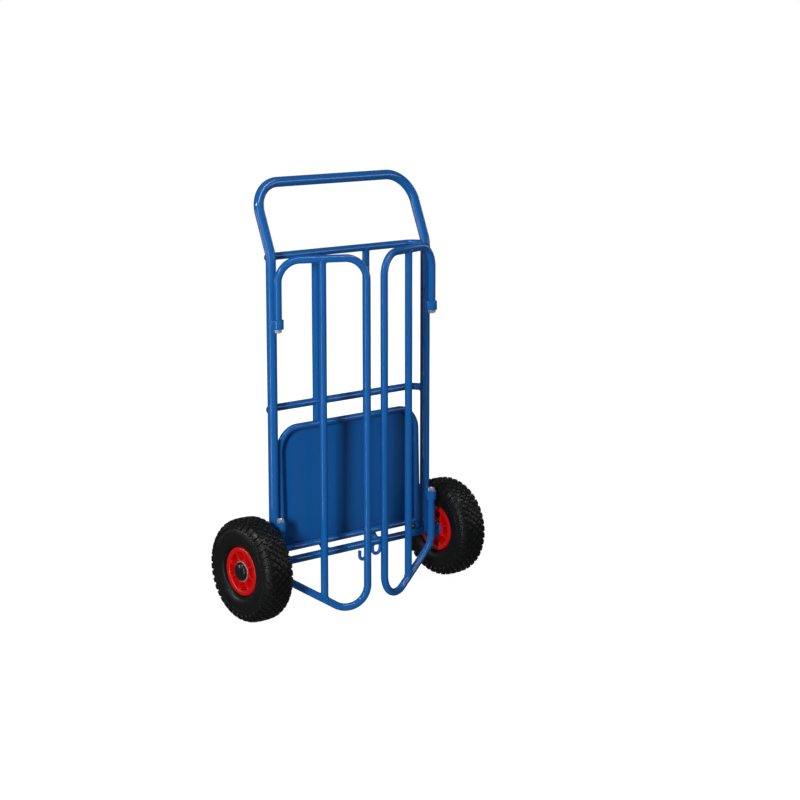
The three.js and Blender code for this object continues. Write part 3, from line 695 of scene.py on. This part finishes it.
def build_wing(name, side):
    body = f"wing_{name}"
    turn = turn_z(side * math.radians(WING_ANGLES[name]))
    hinge = (side * UPRIGHT_X, HINGE_Y, 0.0)

    def at(reach, height):
        return (-side * reach, 0.0, height)

    def placed(shape):
        return moved(shape, turn, hinge)

    upper_end = UPPER_COLLAR + COLLAR_HEIGHT / 2 + GAP
    lower_end = LOWER_COLLAR - COLLAR_HEIGHT / 2 - GAP
    loop = bent_route([
        at(0, upper_end), at(0, WING_TOP), at(WING_REACH, WING_TOP), at(WING_REACH, FOOT),
        at(DIAGONAL_FOOT, FOOT), at(0, WING_ELBOW), at(0, lower_end),
    ], [WING_BEND_RADIUS] * 4 + [WING_ELBOW_RADIUS])
    shape = placed(tube(loop, WING_RADIUS, WING_WALL))
    piece(f"wing_loop_{name}", shape, PAINT, body, [f"wing_tube_{name}"])
    foot = FOOT + (DIAGONAL_FOOT - WING_BAR_REACH) * math.tan(DIAGONAL)
    bar = bent_route([at(WING_BAR_REACH, WING_TOP - BAR_SEAT), at(WING_BAR_REACH, foot + BAR_SEAT)], [])
    shape = placed(tube(bar, WING_RADIUS, WING_WALL))
    piece(f"wing_upright_{name}", shape, PAINT, body, [f"wing_bar_{name}"])
    slope = (-side * math.cos(DIAGONAL), 0.0, -math.sin(DIAGONAL))
    top, low = np.array(at(WING_BAR_REACH, WING_TOP)), np.array(at(WING_BAR_REACH, foot))
    curves = [
        bead(saddle(top, (0, 0, -1), WING_RADIUS, top, (1, 0, 0), WING_RADIUS), BEAD),
        bead(saddle(low, (0, 0, 1), WING_RADIUS, low, slope, WING_RADIUS), WIDE_BEAD),
    ]
    for height, out in ((upper_end, 1), (lower_end, -1)):
        ring = [(PAINT_RING * math.cos(a), PAINT_RING * math.sin(a), height - out * PAINT_RING_SINK)
                for a in np.linspace(0, 2 * math.pi, PAINT_RING_POINTS, endpoint=False)]
        curves.append(bead(ring, PAINT_RING_BEAD))
    piece(f"wing_welds_{name}", placed(joined(*curves)), WELD, body)
    collar = COLLAR_HEIGHT / 2 + GAP
    shank = COLLAR_HEIGHT + NUT_HEIGHT + PIN_PAST_NUT + 3 * GAP
    pin = threaded_pin(WING_RADIUS - WING_WALL - GAP, PIN_RADIUS, PIN_PLUG_LENGTH, shank, PIN_PLAIN)
    nut = hex_nut(NUT_FLATS, NUT_HEIGHT, PIN_RADIUS + NUT_CLEARANCE)
    down, rise = turn_y(math.pi / 2), turn_y(-math.pi / 2)
    spots = (("upper", UPPER_COLLAR, 1, down), ("lower", LOWER_COLLAR, -1, rise))
    for level, height, out, aim in spots:
        pin_at = moved(pin, aim, (0, 0, height + out * collar))
        piece(f"hinge_pin_{level}_{name}", placed(pin_at), ZINC, body, [f"wing_pin_{level}_{name}"])
        # Each nut stopped at its own turn when it was tightened
        aim = turn_x(math.pi) @ turn_z(0.4 + side * 0.2) if out > 0 else turn_z(0.15 * side)
        nut_at = moved(nut, aim, (0, 0, height - out * collar))
        replaced = [f"wing_nut_{level}_{name}"]
        piece(f"hinge_nut_{level}_{name}", placed(nut_at), ZINC, body, replaced, SHARP_NUT)


# The toe plate

PLATE_BOW_EDGE = 2.2
REAR_EDGE = 1.5
SHEET_BEVEL = 0.5
SHEET_CORNER_STEPS = 14
PLATE_BEAD = 1.6
# Tack welds between the sheet and its frame: how far they stand off the tube's axis, and their places
TACK_OFFSET = 3.2
TACK_RISE = 0.2
SIDE_TACKS = (70.0, 150.0, 230.0)
CROSS_TACKS = np.linspace(-150, 150, 4)


def build_toe_plate():
    def placed(shape):
        return moved(shape, turn_x(-PLATE_LEAN), (0, PIVOT_Y, PIVOT_Z))

    radius = PLATE_TUBE_RADIUS
    sides = bent_route([
        (-PLATE_X, 0, -radius + GAP), (-PLATE_X, 0, PLATE_LENGTH),
        (PLATE_X, 0, PLATE_LENGTH), (PLATE_X, 0, -radius + GAP),
    ], [PLATE_CORNER, PLATE_CORNER])
    bow = rod(sides, radius, TUBE_SIDES, PLATE_BOW_EDGE)
    piece("plate_bow", placed(bow), PAINT, "toe_plate", ["plate_frame_tube"])
    reach = PLATE_X - radius + BAR_SEAT
    rear = bent_route([(-reach, 0, PLATE_REAR), (reach, 0, PLATE_REAR)], [])
    piece("plate_rail", placed(tube(rear, radius)), PAINT, "toe_plate", ["plate_rear_tube"])
    outline = rounded([
        (-PLATE_X, PLATE_REAR), (PLATE_X, PLATE_REAR), (PLATE_X, PLATE_LENGTH), (-PLATE_X, PLATE_LENGTH),
    ], [REAR_EDGE, REAR_EDGE, PLATE_CORNER, PLATE_CORNER], SHEET_CORNER_STEPS)
    sheet = solid_of(outline, PLATE_SHEET, SHEET_BEVEL)
    sheet = moved(sheet, turn_x(math.pi / 2), (0, radius + GAP + PLATE_SHEET, 0))
    piece("plate_panel", placed(sheet), PAINT, "toe_plate", ["plate_sheet"])
    curves = []
    spread, y = np.linspace(-TACK_HALF, TACK_HALF, LEAST_STATIONS), radius + TACK_RISE
    for _, side in SIDES:
        at = np.array([side * PLATE_X, 0.0, PLATE_REAR])
        curves.append(bead(saddle(at, (-side, 0, 0), radius, at, (0, 0, 1), radius), PLATE_BEAD))
        for z in SIDE_TACKS:
            for edge in (-1, 1):
                line = [(side * (PLATE_X + edge * TACK_OFFSET), y, z + s) for s in spread]
                curves.append(bead(line, TACK_BEAD, closed=False))
    for x in CROSS_TACKS:
        for z in (PLATE_LENGTH - TACK_OFFSET, PLATE_REAR + TACK_OFFSET):
            curves.append(bead([(x + s, y, z) for s in spread], TACK_BEAD, closed=False))
    piece("plate_welds", placed(joined(*curves)), WELD, "toe_plate")


LUG_HALF = 12.0
LUG_BEVEL = 0.6
STUD_RADIUS = 3.0
STUD_PAST_NUT = 1.0
STUD_SHORT = 0.2
PIVOT_NUT_FLATS = 10.0
PIVOT_NUT_HEIGHT = 5.0
PIVOT_NUT_BORE = 3.1


def build_plate_pivots():
    inner, outer = PLATE_X + PLATE_TUBE_RADIUS + GAP, UPRIGHT_X - UPRIGHT_RADIUS - GAP
    half, rise = LUG_HALF, PIVOT_Z - AXLE_HEIGHT
    outline = [(half * math.cos(a), rise + half * math.sin(a)) for a in np.linspace(0, math.pi, 25)]
    outline = [(-half, 0.0), (half, 0.0)] + outline
    nut_from = PLATE_X - PLATE_TUBE_RADIUS - GAP - PIVOT_NUT_HEIGHT
    for name, side in SIDES:
        flat, faces = solid_of(outline, outer - inner, LUG_BEVEL)
        start = inner if side > 0 else -outer
        lug = np.column_stack([start + flat[:, 2], PIVOT_Y + flat[:, 0], AXLE_HEIGHT + flat[:, 1]])
        piece(f"pivot_lug_{name}", (lug, faces), PAINT, "frame", [f"plate_bracket_{name}"])
        stud = bent_route([
            (side * (nut_from - STUD_PAST_NUT), PIVOT_Y, PIVOT_Z),
            (side * (outer - STUD_SHORT), PIVOT_Y, PIVOT_Z),
        ], [])
        stud = rod(stud, STUD_RADIUS, BORE_SIDES, soft=0.5)
        piece(f"pivot_stud_{name}", stud, ZINC, "frame", [f"plate_stud_{name}"])
        nut = hex_nut(PIVOT_NUT_FLATS, PIVOT_NUT_HEIGHT, PIVOT_NUT_BORE)
        place = (side * (nut_from + PIVOT_NUT_HEIGHT), PIVOT_Y, PIVOT_Z)
        nut = moved(nut, turn_y(-side * math.pi / 2), place)
        piece(f"pivot_nut_{name}", nut, BLACK, "frame", [f"plate_nut_{name}"], SHARP_NUT)


# The wheels, drawn about their own middle with the outer face towards +X

def smooth_line(points, steps):
    """A smooth line through points, with the same number of steps between each pair"""
    points = [np.array(p, float) for p in points]
    longer = [2 * points[0] - points[1], *points, 2 * points[-1] - points[-2]]
    found = []
    for a, b, c, d in zip(longer, longer[1:], longer[2:], longer[3:]):
        for k in range(steps):
            t = k / steps
            found.append(0.5 * (2 * b + (c - a) * t + (2 * a - 5 * b + 4 * c - d) * t * t
                                + (3 * b - a - 3 * c + d) * t ** 3))
    return found + [points[-1]]


# The tyre's outer line: places along X and radii, on the tread and down its side
LINE_STEPS = 5
TREAD_DEPTH = 3.4
TREAD_PITCHES = 40
TREAD_ROWS = 2
ROW_SHARE = 0.213
HALF_PITCH = math.pi / TREAD_PITCHES
TREAD_LINE = [(0.0, 126.4), (12.5, 126.2), (25.8, 124.1), (34.6, 116.0), (39.3, 106.8)]
SIDE_LINE = [
    (41.2, 99.4), (41.5, 98.2), (42.1, 97.2), (41.8, 96.0), (42.2, 90.0), (41.9, 81.0),
    (40.1, 72.5), (36.6, 65.6), (30.4, 61.9),
]
# The tyre's air chamber and its seat on the rim: radius, place along X and rounding of each corner
CHAMBER = [
    (61.6, -28.5, 1.5), (52.3, -28.6, 1.5), (52.3, -20.5, 2.0), (61.6, -23.5, 6.0), (84.0, -35.5, 12.0),
    (107.0, -33.5, 14.0), (120.0, -10.0, 12.0), (120.0, 10.0, 12.0), (107.0, 33.5, 14.0),
    (84.0, 35.5, 12.0), (61.6, 23.5, 6.0), (52.3, 20.5, 2.0), (52.3, 28.6, 1.5), (61.6, 28.5, 1.5),
]
TYRE_SIDES = 160


class Carcass:
    """The tyre's outer line, measured from the crown, in the lattice of the tread's rows"""

    def __init__(self):
        self.line = np.array(smooth_line(TREAD_LINE + SIDE_LINE, LINE_STEPS))
        steps = np.linalg.norm(np.diff(self.line, axis=0), axis=1)
        self.lengths = np.concatenate([[0], np.cumsum(steps)])
        self.tread_length = self.lengths[LINE_STEPS * (len(TREAD_LINE) - 1)]
        self.row = self.tread_length * ROW_SHARE

    def at(self, run):
        """The place along X and the radius at a run along the line"""
        return np.array([np.interp(run, self.lengths, self.line[:, k]) for k in (0, 1)])

    def point(self, row, turn, height):
        """Rows are counted from the crown, turns in half pitches from the lowest point"""
        run = abs(row) * self.row
        along = unit(self.at(min(run + 1.0, self.lengths[-1])) - self.at(max(run - 1.0, 0.0)))
        if run < 1.0:
            along = np.array([1.0, 0.0])
        x, r = self.at(run) + height * np.array([-along[1], along[0]])
        angle = turn * HALF_PITCH - math.pi / 2
        return math.copysign(x, row), r * math.cos(angle), r * math.sin(angle)


# Tread blocks: shares of the lattice cell and of the tread's depth, from the foot to the face
BLOCK_LEVELS = ((0.80, -0.2), (0.77, 0.5), (0.72, 0.9), (0.65, 1.0))
BLOCK_EDGE = 1.3
# Shoulder blocks: shares of their length with half widths, then the shares across with heights
SHOULDER_WIDTHS = (
    (0.0, 0.0), (0.27, 0.48), (0.42, 0.68), (0.6, 0.70), (0.75, 0.71), (0.88, 0.72), (1.0, 0.72),
)
SHOULDER_PROFILE = (
    (-1.0, -0.3), (-0.93, 0.3), (-0.86, 0.88), (-0.78, 1.0),
    (0.78, 1.0), (0.86, 0.88), (0.93, 0.3), (1.0, -0.3),
)
LEAST_SHOULDER_WIDTH = 0.06
# Side ribs: the same two tables, and their half width in shares of their spacing
RIBS_PER_PITCH = 3
RIB_LEVELS = ((0.0, -0.3), (0.08, 0.5), (0.3, 0.8), (0.8, 0.7), (0.95, 0.3), (1.0, -0.3))
RIB_PROFILE = ((-1.0, -0.5), (-0.5, 0.8), (0.5, 0.8), (1.0, -0.5))
RIB_HALF = 0.28


def block(carcass, row, turn):
    """A diamond tread block with rounded corners, in the lattice of rows and turns"""
    scale = np.array([carcass.row, HALF_PITCH * TREAD_LINE[0][1]])
    middle = np.array([row, turn]) * scale
    reach = np.array([(-1, 0), (0, 1), (1, 0), (0, -1)]) * scale
    points = []
    for share, rise in BLOCK_LEVELS:
        outline = rounded(middle + reach * share, BLOCK_EDGE * share, 2)
        points += [carcass.point(*(p / scale), rise * TREAD_DEPTH) for p in outline]
    levels, count = len(BLOCK_LEVELS), len(points) // len(BLOCK_LEVELS)
    return points, skin(levels, count) + ends(levels, count)


def shoulder_block(carcass, face, turn):
    """A longer block that bends over the shoulder: rings across it, from its tip to its foot"""
    first, last = TREAD_ROWS + 0.15, 1 / ROW_SHARE
    points = []
    for along, width in SHOULDER_WIDTHS:
        row = first + (last - first) * along
        lift = min(1.0, 0.25 + along * 6, 0.2 + (1.0 - along) * 8)
        half = max(width, LEAST_SHOULDER_WIDTH)
        for across, rise in SHOULDER_PROFILE:
            height = TREAD_DEPTH * (rise * lift if rise > 0 else rise)
            points.append(carcass.point(face * row, turn + across * half, height))
    levels, count = len(SHOULDER_WIDTHS), len(SHOULDER_PROFILE)
    return points, skin(levels, count) + ends(levels, count)


def side_ribs(carcass):
    """Fine ribs that run down from the shoulder to the ridge on both sides"""
    ribs = []
    first, last = 1 / ROW_SHARE + 0.12, 1 / ROW_SHARE + 0.85
    half = RIB_HALF * 2 / RIBS_PER_PITCH
    levels, count = len(RIB_LEVELS), len(RIB_PROFILE)
    for k in range(RIBS_PER_PITCH * TREAD_PITCHES):
        turn = (k + 0.5) * 2 / RIBS_PER_PITCH
        for face in (-1, 1):
            points = []
            for along, height in RIB_LEVELS:
                row = first + (last - first) * along
                for across, share in RIB_PROFILE:
                    rise = height * share if height > 0 else height
                    points.append(carcass.point(face * row, turn + across * half, rise))
            ribs.append((points, skin(levels, count) + ends(levels, count)))
    return joined(*ribs)


def build_tyre(name, place):
    carcass = Carcass()
    line = carcass.line
    outer = [(r, x) for x, r in line[::-1]] + [(r, -x) for x, r in line[1:]]
    inner = rounded([corner[:2] for corner in CHAMBER], [corner[2] for corner in CHAMBER])
    shapes = [turned(outer + inner, TYRE_SIDES)]
    for turn in range(2 * TREAD_PITCHES):
        for row in range(-TREAD_ROWS, TREAD_ROWS + 1):
            if (row + turn) % 2 == 0:
                shapes.append(block(carcass, row, turn))
        if turn % 2 != 0:
            for face in (-1, 1):
                shapes.append(shoulder_block(carcass, face, turn))
    shapes.append(side_ribs(carcass))
    shape = place(joined(*shapes))
    piece(f"tyre_tread_{name}", shape, RUBBER, f"wheel_{name}", [f"tyre_{name}"], SHARP_MOULDED)


RIM_HALF = 34.0
RIM_FLANGE = 61.0
RIM_SEAT = 52.0
RIM_POCKET = 47.0
RIM_HUB = 27.5
RIM_WEB = 3.0
RIM_BORE = 12.9
RIM_RING_RISE = 5.0
RIM_SIDES = 96
# The power below one makes a round section squarer
RING_POWER = 0.75
SPOKES = 8
SPOKE_PHASE = math.radians(28)
SPOKE_DEPTH = 31.0
SPOKE_HALF = 2.0
SPOKE_CROWN = 0.5
# How far a spoke sinks into the hub and the ring, and by how much and over which share it flares there
SPOKE_SINK = (1.5, 2.5)
HUB_FLARE, HUB_FLARE_SHARE = 5.2, 0.42
RING_FLARE, RING_FLARE_SHARE = 3.6, 0.34
SPOKE_STATIONS = 17
# Section of a spoke: shares of its depth and of its half width, and of its crown
SPOKE_SECTION = (
    (-0.99, 0.75, 0), (-1.0, 0.0, 0), (-0.99, -0.75, 0), (-0.96, -1.0, 0), (0.0, -1.0, -1), (0.96, -1.0, 0),
    (0.99, -0.75, 0), (1.0, 0.0, 0), (0.99, 0.75, 0), (0.96, 1.0, 0), (0.0, 1.0, 1), (-0.96, 1.0, 0),
)
LEAST_STEP = 0.05
WASHER_BORE = 10.4
WASHER_RADIUS = 25.5
WASHER_THICKNESS = 1.5
WASHER_EDGE = 0.4
CAP_RADIUS = 23.5
CAP_HEIGHT = 10.0
CAP_WALL = 1.2
CAP_STEPS = 16
CAP_LIFT_POWER, CAP_WIDTH_POWER = 0.9, 0.95


def spoke_widths():
    """Half widths of a spoke along its radius: it flares where it meets the hub and the ring"""
    run = RIM_POCKET - RIM_HUB
    for r in np.linspace(RIM_HUB - SPOKE_SINK[0], RIM_POCKET + SPOKE_SINK[1], SPOKE_STATIONS):
        inner, outer = max(r - RIM_HUB, 0.0) / run, max(RIM_POCKET - r, 0.0) / run
        at_hub = HUB_FLARE * max(0.0, 1 - inner / HUB_FLARE_SHARE) ** 2
        at_ring = RING_FLARE * max(0.0, 1 - outer / RING_FLARE_SHARE) ** 2
        yield r, SPOKE_HALF + at_hub + at_ring


def spoke():
    """One spoke, standing along Z"""
    corners = []
    for r, width in spoke_widths():
        corners += [(SPOKE_DEPTH * f, width * w + SPOKE_CROWN * e, r) for f, w, e in SPOKE_SECTION]
    count = len(SPOKE_SECTION)
    return np.array(corners), skin(SPOKE_STATIONS, count) + ends(SPOKE_STATIONS, count)


def build_rim(name, place):
    middle, reach = (RIM_FLANGE + RIM_POCKET) / 2, (RIM_FLANGE - RIM_POCKET) / 2
    ring = []
    for angle in np.radians(np.linspace(0, 180, 25)):
        swell = math.copysign(abs(math.cos(angle)) ** RING_POWER, math.cos(angle))
        drop = RIM_RING_RISE * (1 - math.sin(angle) ** RING_POWER)
        ring.append((middle - reach * swell, RIM_HALF - drop))
    hub_edge, hub_foot, ring_foot = 1.6, 2.0, 3.0
    half_outline = rounded([
        (RIM_BORE, 0.0), (RIM_BORE, HUB_HALF), (RIM_HUB, HUB_HALF), (RIM_HUB, RIM_WEB),
        (RIM_POCKET, RIM_WEB), ring[0],
    ], [0, 0.5, hub_edge, hub_foot, ring_foot, 0], 6)
    half_outline += ring[1:] + [(RIM_SEAT, RIM_HALF - RIM_RING_RISE)]
    outline = half_outline + [(r, -x) for r, x in half_outline[::-1]]
    outline = [p for i, p in enumerate(outline) if math.dist(p, outline[i - 1]) > LEAST_STEP]
    shapes = [turned(outline, RIM_SIDES)]
    for i in range(SPOKES):
        shapes.append(moved(spoke(), turn_x(2 * math.pi * i / SPOKES + SPOKE_PHASE)))
    shape = place(joined(*shapes))
    piece(f"rim_moulding_{name}", shape, RED, f"wheel_{name}", [f"rim_{name}"], SHARP_MOULDED)


def build_washer_and_cap(name, place):
    start = HUB_HALF + GAP
    washer = rounded([
        (WASHER_BORE, start), (WASHER_RADIUS, start),
        (WASHER_RADIUS, start + WASHER_THICKNESS), (WASHER_BORE, start + WASHER_THICKNESS),
    ], WASHER_EDGE)
    piece(f"hub_washer_{name}", place(turned(washer)), ZINC, "frame", [f"wheel_washer_{name}"])
    start += WASHER_THICKNESS + GAP
    dome, hollow = [], []
    for k in range(CAP_STEPS + 1):
        angle = math.pi / 2 * k / CAP_STEPS
        lift = math.sin(angle) ** CAP_LIFT_POWER
        width = math.cos(angle) ** CAP_WIDTH_POWER if k < CAP_STEPS else 0.0
        dome.append((CAP_RADIUS * width, start + CAP_HEIGHT * lift))
        hollow.append(((CAP_RADIUS - CAP_WALL) * width, start + (CAP_HEIGHT - CAP_WALL) * lift))
    cap = place(turned(dome + hollow[::-1]))
    piece(f"axle_cap_{name}", cap, BLACK, "frame", [f"hub_cap_{name}"], SHARP_DOME)


def build_wheel(name, side):
    turn = np.eye(3) if side > 0 else turn_z(math.pi)

    def place(shape):
        return moved(shape, turn, (side * WHEEL_X, 0.0, AXLE_HEIGHT))

    build_tyre(name, place)
    build_rim(name, place)
    build_washer_and_cap(name, place)


build_main_tube()
build_bars()
build_axle()
build_hooks()
build_collars()
build_frame_welds()
for wing_name, wing_side in SIDES:
    build_wing(wing_name, wing_side)
build_toe_plate()
build_plate_pivots()
for wheel_name, wheel_side in SIDES:
    build_wheel(wheel_name, wheel_side)

# Nothing stands for the bushes and clips, which are hidden: their CAD nodes stay and get a material
KEPT = {"wheel_bush": NYLON, "wheel_clip": ZINC}
for node_name, cad_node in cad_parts.items():
    for start, material in KEPT.items():
        if node_name.startswith(start):
            cad_node.data.materials.clear()
            cad_node.data.materials.append(material)


# Floor, light and camera, in metres and degrees

FLOOR_HALF = 60.0
# The floor gives off its own light, a little less near the truck, between these distances
FLOOR_TONES = ((0.13, 0.13, 0.13), (0.14, 0.14, 0.14))
FLOOR_PATCHES = (0.6, 2.0, 0.5)
FLOOR_ROUGHNESS = 0.9
GLOW_FROM, GLOW_TO = 0.5, 2.5
GLOW_NEAR, GLOW_FAR = 0.95, 1.0
# Strength of the white surroundings as the camera, a diffuse surface and a glossy surface see them
SEEN_BY_CAMERA, SEEN_BY_DIFFUSE, SEEN_BY_GLOSSY = 1.0, 0.10, 0.07
LIGHT_AIM = (0.0, 0.0, 0.55)
# Place, size and watts. The first lights brighten the surfaces and make the shadows, the others
# show only as highlights.
FILLS = {
    "key": ((-3.1, -1.9, 1.3), (0.40, 0.9), 122),
    "above": ((0.0, -0.6, 3.4), (1.4, 1.2), 24),
    "behind": ((1.4, 3.0, 1.6), (2.0, 2.0), 60),
    "right": ((3.2, 0.4, 1.7), (1.4, 1.4), 26),
    "below": ((-0.6, -1.2, -2.6), (2.6, 2.6), 28),
}
SHINES = {
    "strip_left": ((-3.2, -0.7, 0.9), (0.2, 3.6), 30),
    "box_left": ((-2.6, 1.9, 0.9), (0.4, 0.7), 12),
    "box_front": ((2.0, -2.3, 1.25), (1.2, 1.1), 10),
    "spark": ((-2.4, 0.5, 2.4), (0.3, 0.3), 18),
    "strip_top": ((0.0, -1.2, 3.2), (3.0, 0.2), 36),
    "strip_right": ((3.2, -0.2, 1.3), (0.16, 2.2), 9),
}
CAMERA_PLACE = (-3.0653, -3.7135, 1.4588)
CAMERA_TURN = (78.88, -0.02, -41.0)
CAMERA_SENSOR = 36.0
CAMERA_LENS = 87.39
CAMERA_CLIP = (0.05, 300.0)


def mapped(tree, source, low, high):
    """A grey value from 0 to 1, mapped onto low to high; either can be a number or an output"""
    made = tree.nodes.new("ShaderNodeMapRange")
    for key, value in (("To Min", low), ("To Max", high)):
        if isinstance(value, float):
            made.inputs[key].default_value = value
        else:
            tree.links.new(value, made.inputs[key])
    tree.links.new(source, made.inputs["Value"])
    return made


def build_floor():
    half = FLOOR_HALF
    mesh = bpy.data.meshes.new("floor")
    corners = [(-half, -half, 0), (half, -half, 0), (half, half, 0), (-half, half, 0)]
    mesh.from_pydata(corners, [], [[0, 1, 2, 3]])
    material, tree, shader = new_material("floor_white")
    tone = ramp(tree, noise(tree, *FLOOR_PATCHES), *FLOOR_TONES)
    tree.links.new(tone, shader.inputs["Base Color"])
    shader.inputs["Roughness"].default_value = FLOOR_ROUGHNESS
    shader.inputs["Specular IOR Level"].default_value = 0.0
    shader.inputs["Emission Color"].default_value = (1.0, 1.0, 1.0, 1.0)
    place = tree.nodes.new("ShaderNodeTexCoord")
    distance = tree.nodes.new("ShaderNodeVectorMath")
    distance.operation = "LENGTH"
    tree.links.new(place.outputs["Object"], distance.inputs[0])
    glow = mapped(tree, distance.outputs["Value"], GLOW_NEAR, GLOW_FAR)
    glow.inputs["From Min"].default_value = GLOW_FROM
    glow.inputs["From Max"].default_value = GLOW_TO
    tree.links.new(glow.outputs["Result"], shader.inputs["Emission Strength"])
    mesh.materials.append(material)
    floor = bpy.data.objects.new("floor", mesh)
    bpy.context.scene.collection.objects.link(floor)
    floor.visible_glossy = False
    floor.visible_diffuse = False
    floor.visible_shadow = False


def area_light(name, place, size, power, shines):
    """A flat light aimed at the truck, which either shows as a highlight or brightens the surfaces"""
    data = bpy.data.lights.new(name, "AREA")
    data.shape = "RECTANGLE"
    data.size, data.size_y = size
    data.energy = power
    light = bpy.data.objects.new(name, data)
    light.location = place
    light.rotation_euler = (Vector(LIGHT_AIM) - Vector(place)).to_track_quat("-Z", "Y").to_euler()
    light.visible_glossy = shines
    light.visible_diffuse = not shines
    bpy.context.scene.collection.objects.link(light)


def build_surroundings():
    world = bpy.data.worlds.new("studio")
    world.use_nodes = True
    tree = world.node_tree
    background = tree.nodes["Background"]
    background.inputs["Color"].default_value = (1.0, 1.0, 1.0, 1.0)
    path = tree.nodes.new("ShaderNodeLightPath")
    seen = mapped(tree, path.outputs["Is Camera Ray"], SEEN_BY_DIFFUSE, SEEN_BY_CAMERA)
    seen = mapped(tree, path.outputs["Is Glossy Ray"], seen.outputs["Result"], SEEN_BY_GLOSSY)
    tree.links.new(seen.outputs["Result"], background.inputs["Strength"])
    bpy.context.scene.world = world


def build_lights():
    for name, settings in FILLS.items():
        area_light(name, *settings, shines=False)
    for name, settings in SHINES.items():
        area_light(name, *settings, shines=True)


def build_camera():
    data = bpy.data.cameras.new("camera")
    data.sensor_fit = "HORIZONTAL"
    data.sensor_width = CAMERA_SENSOR
    data.lens = CAMERA_LENS
    data.clip_start, data.clip_end = CAMERA_CLIP
    camera = bpy.data.objects.new("camera", data)
    camera.location = CAMERA_PLACE
    camera.rotation_euler = [math.radians(angle) for angle in CAMERA_TURN]
    bpy.context.scene.collection.objects.link(camera)
    bpy.context.scene.camera = camera
    view = bpy.context.scene.view_settings
    view.view_transform = "Standard"
    view.look = "None"
    view.exposure = 0.0
    view.gamma = 1.0


build_floor()
build_surroundings()
build_lights()
build_camera()
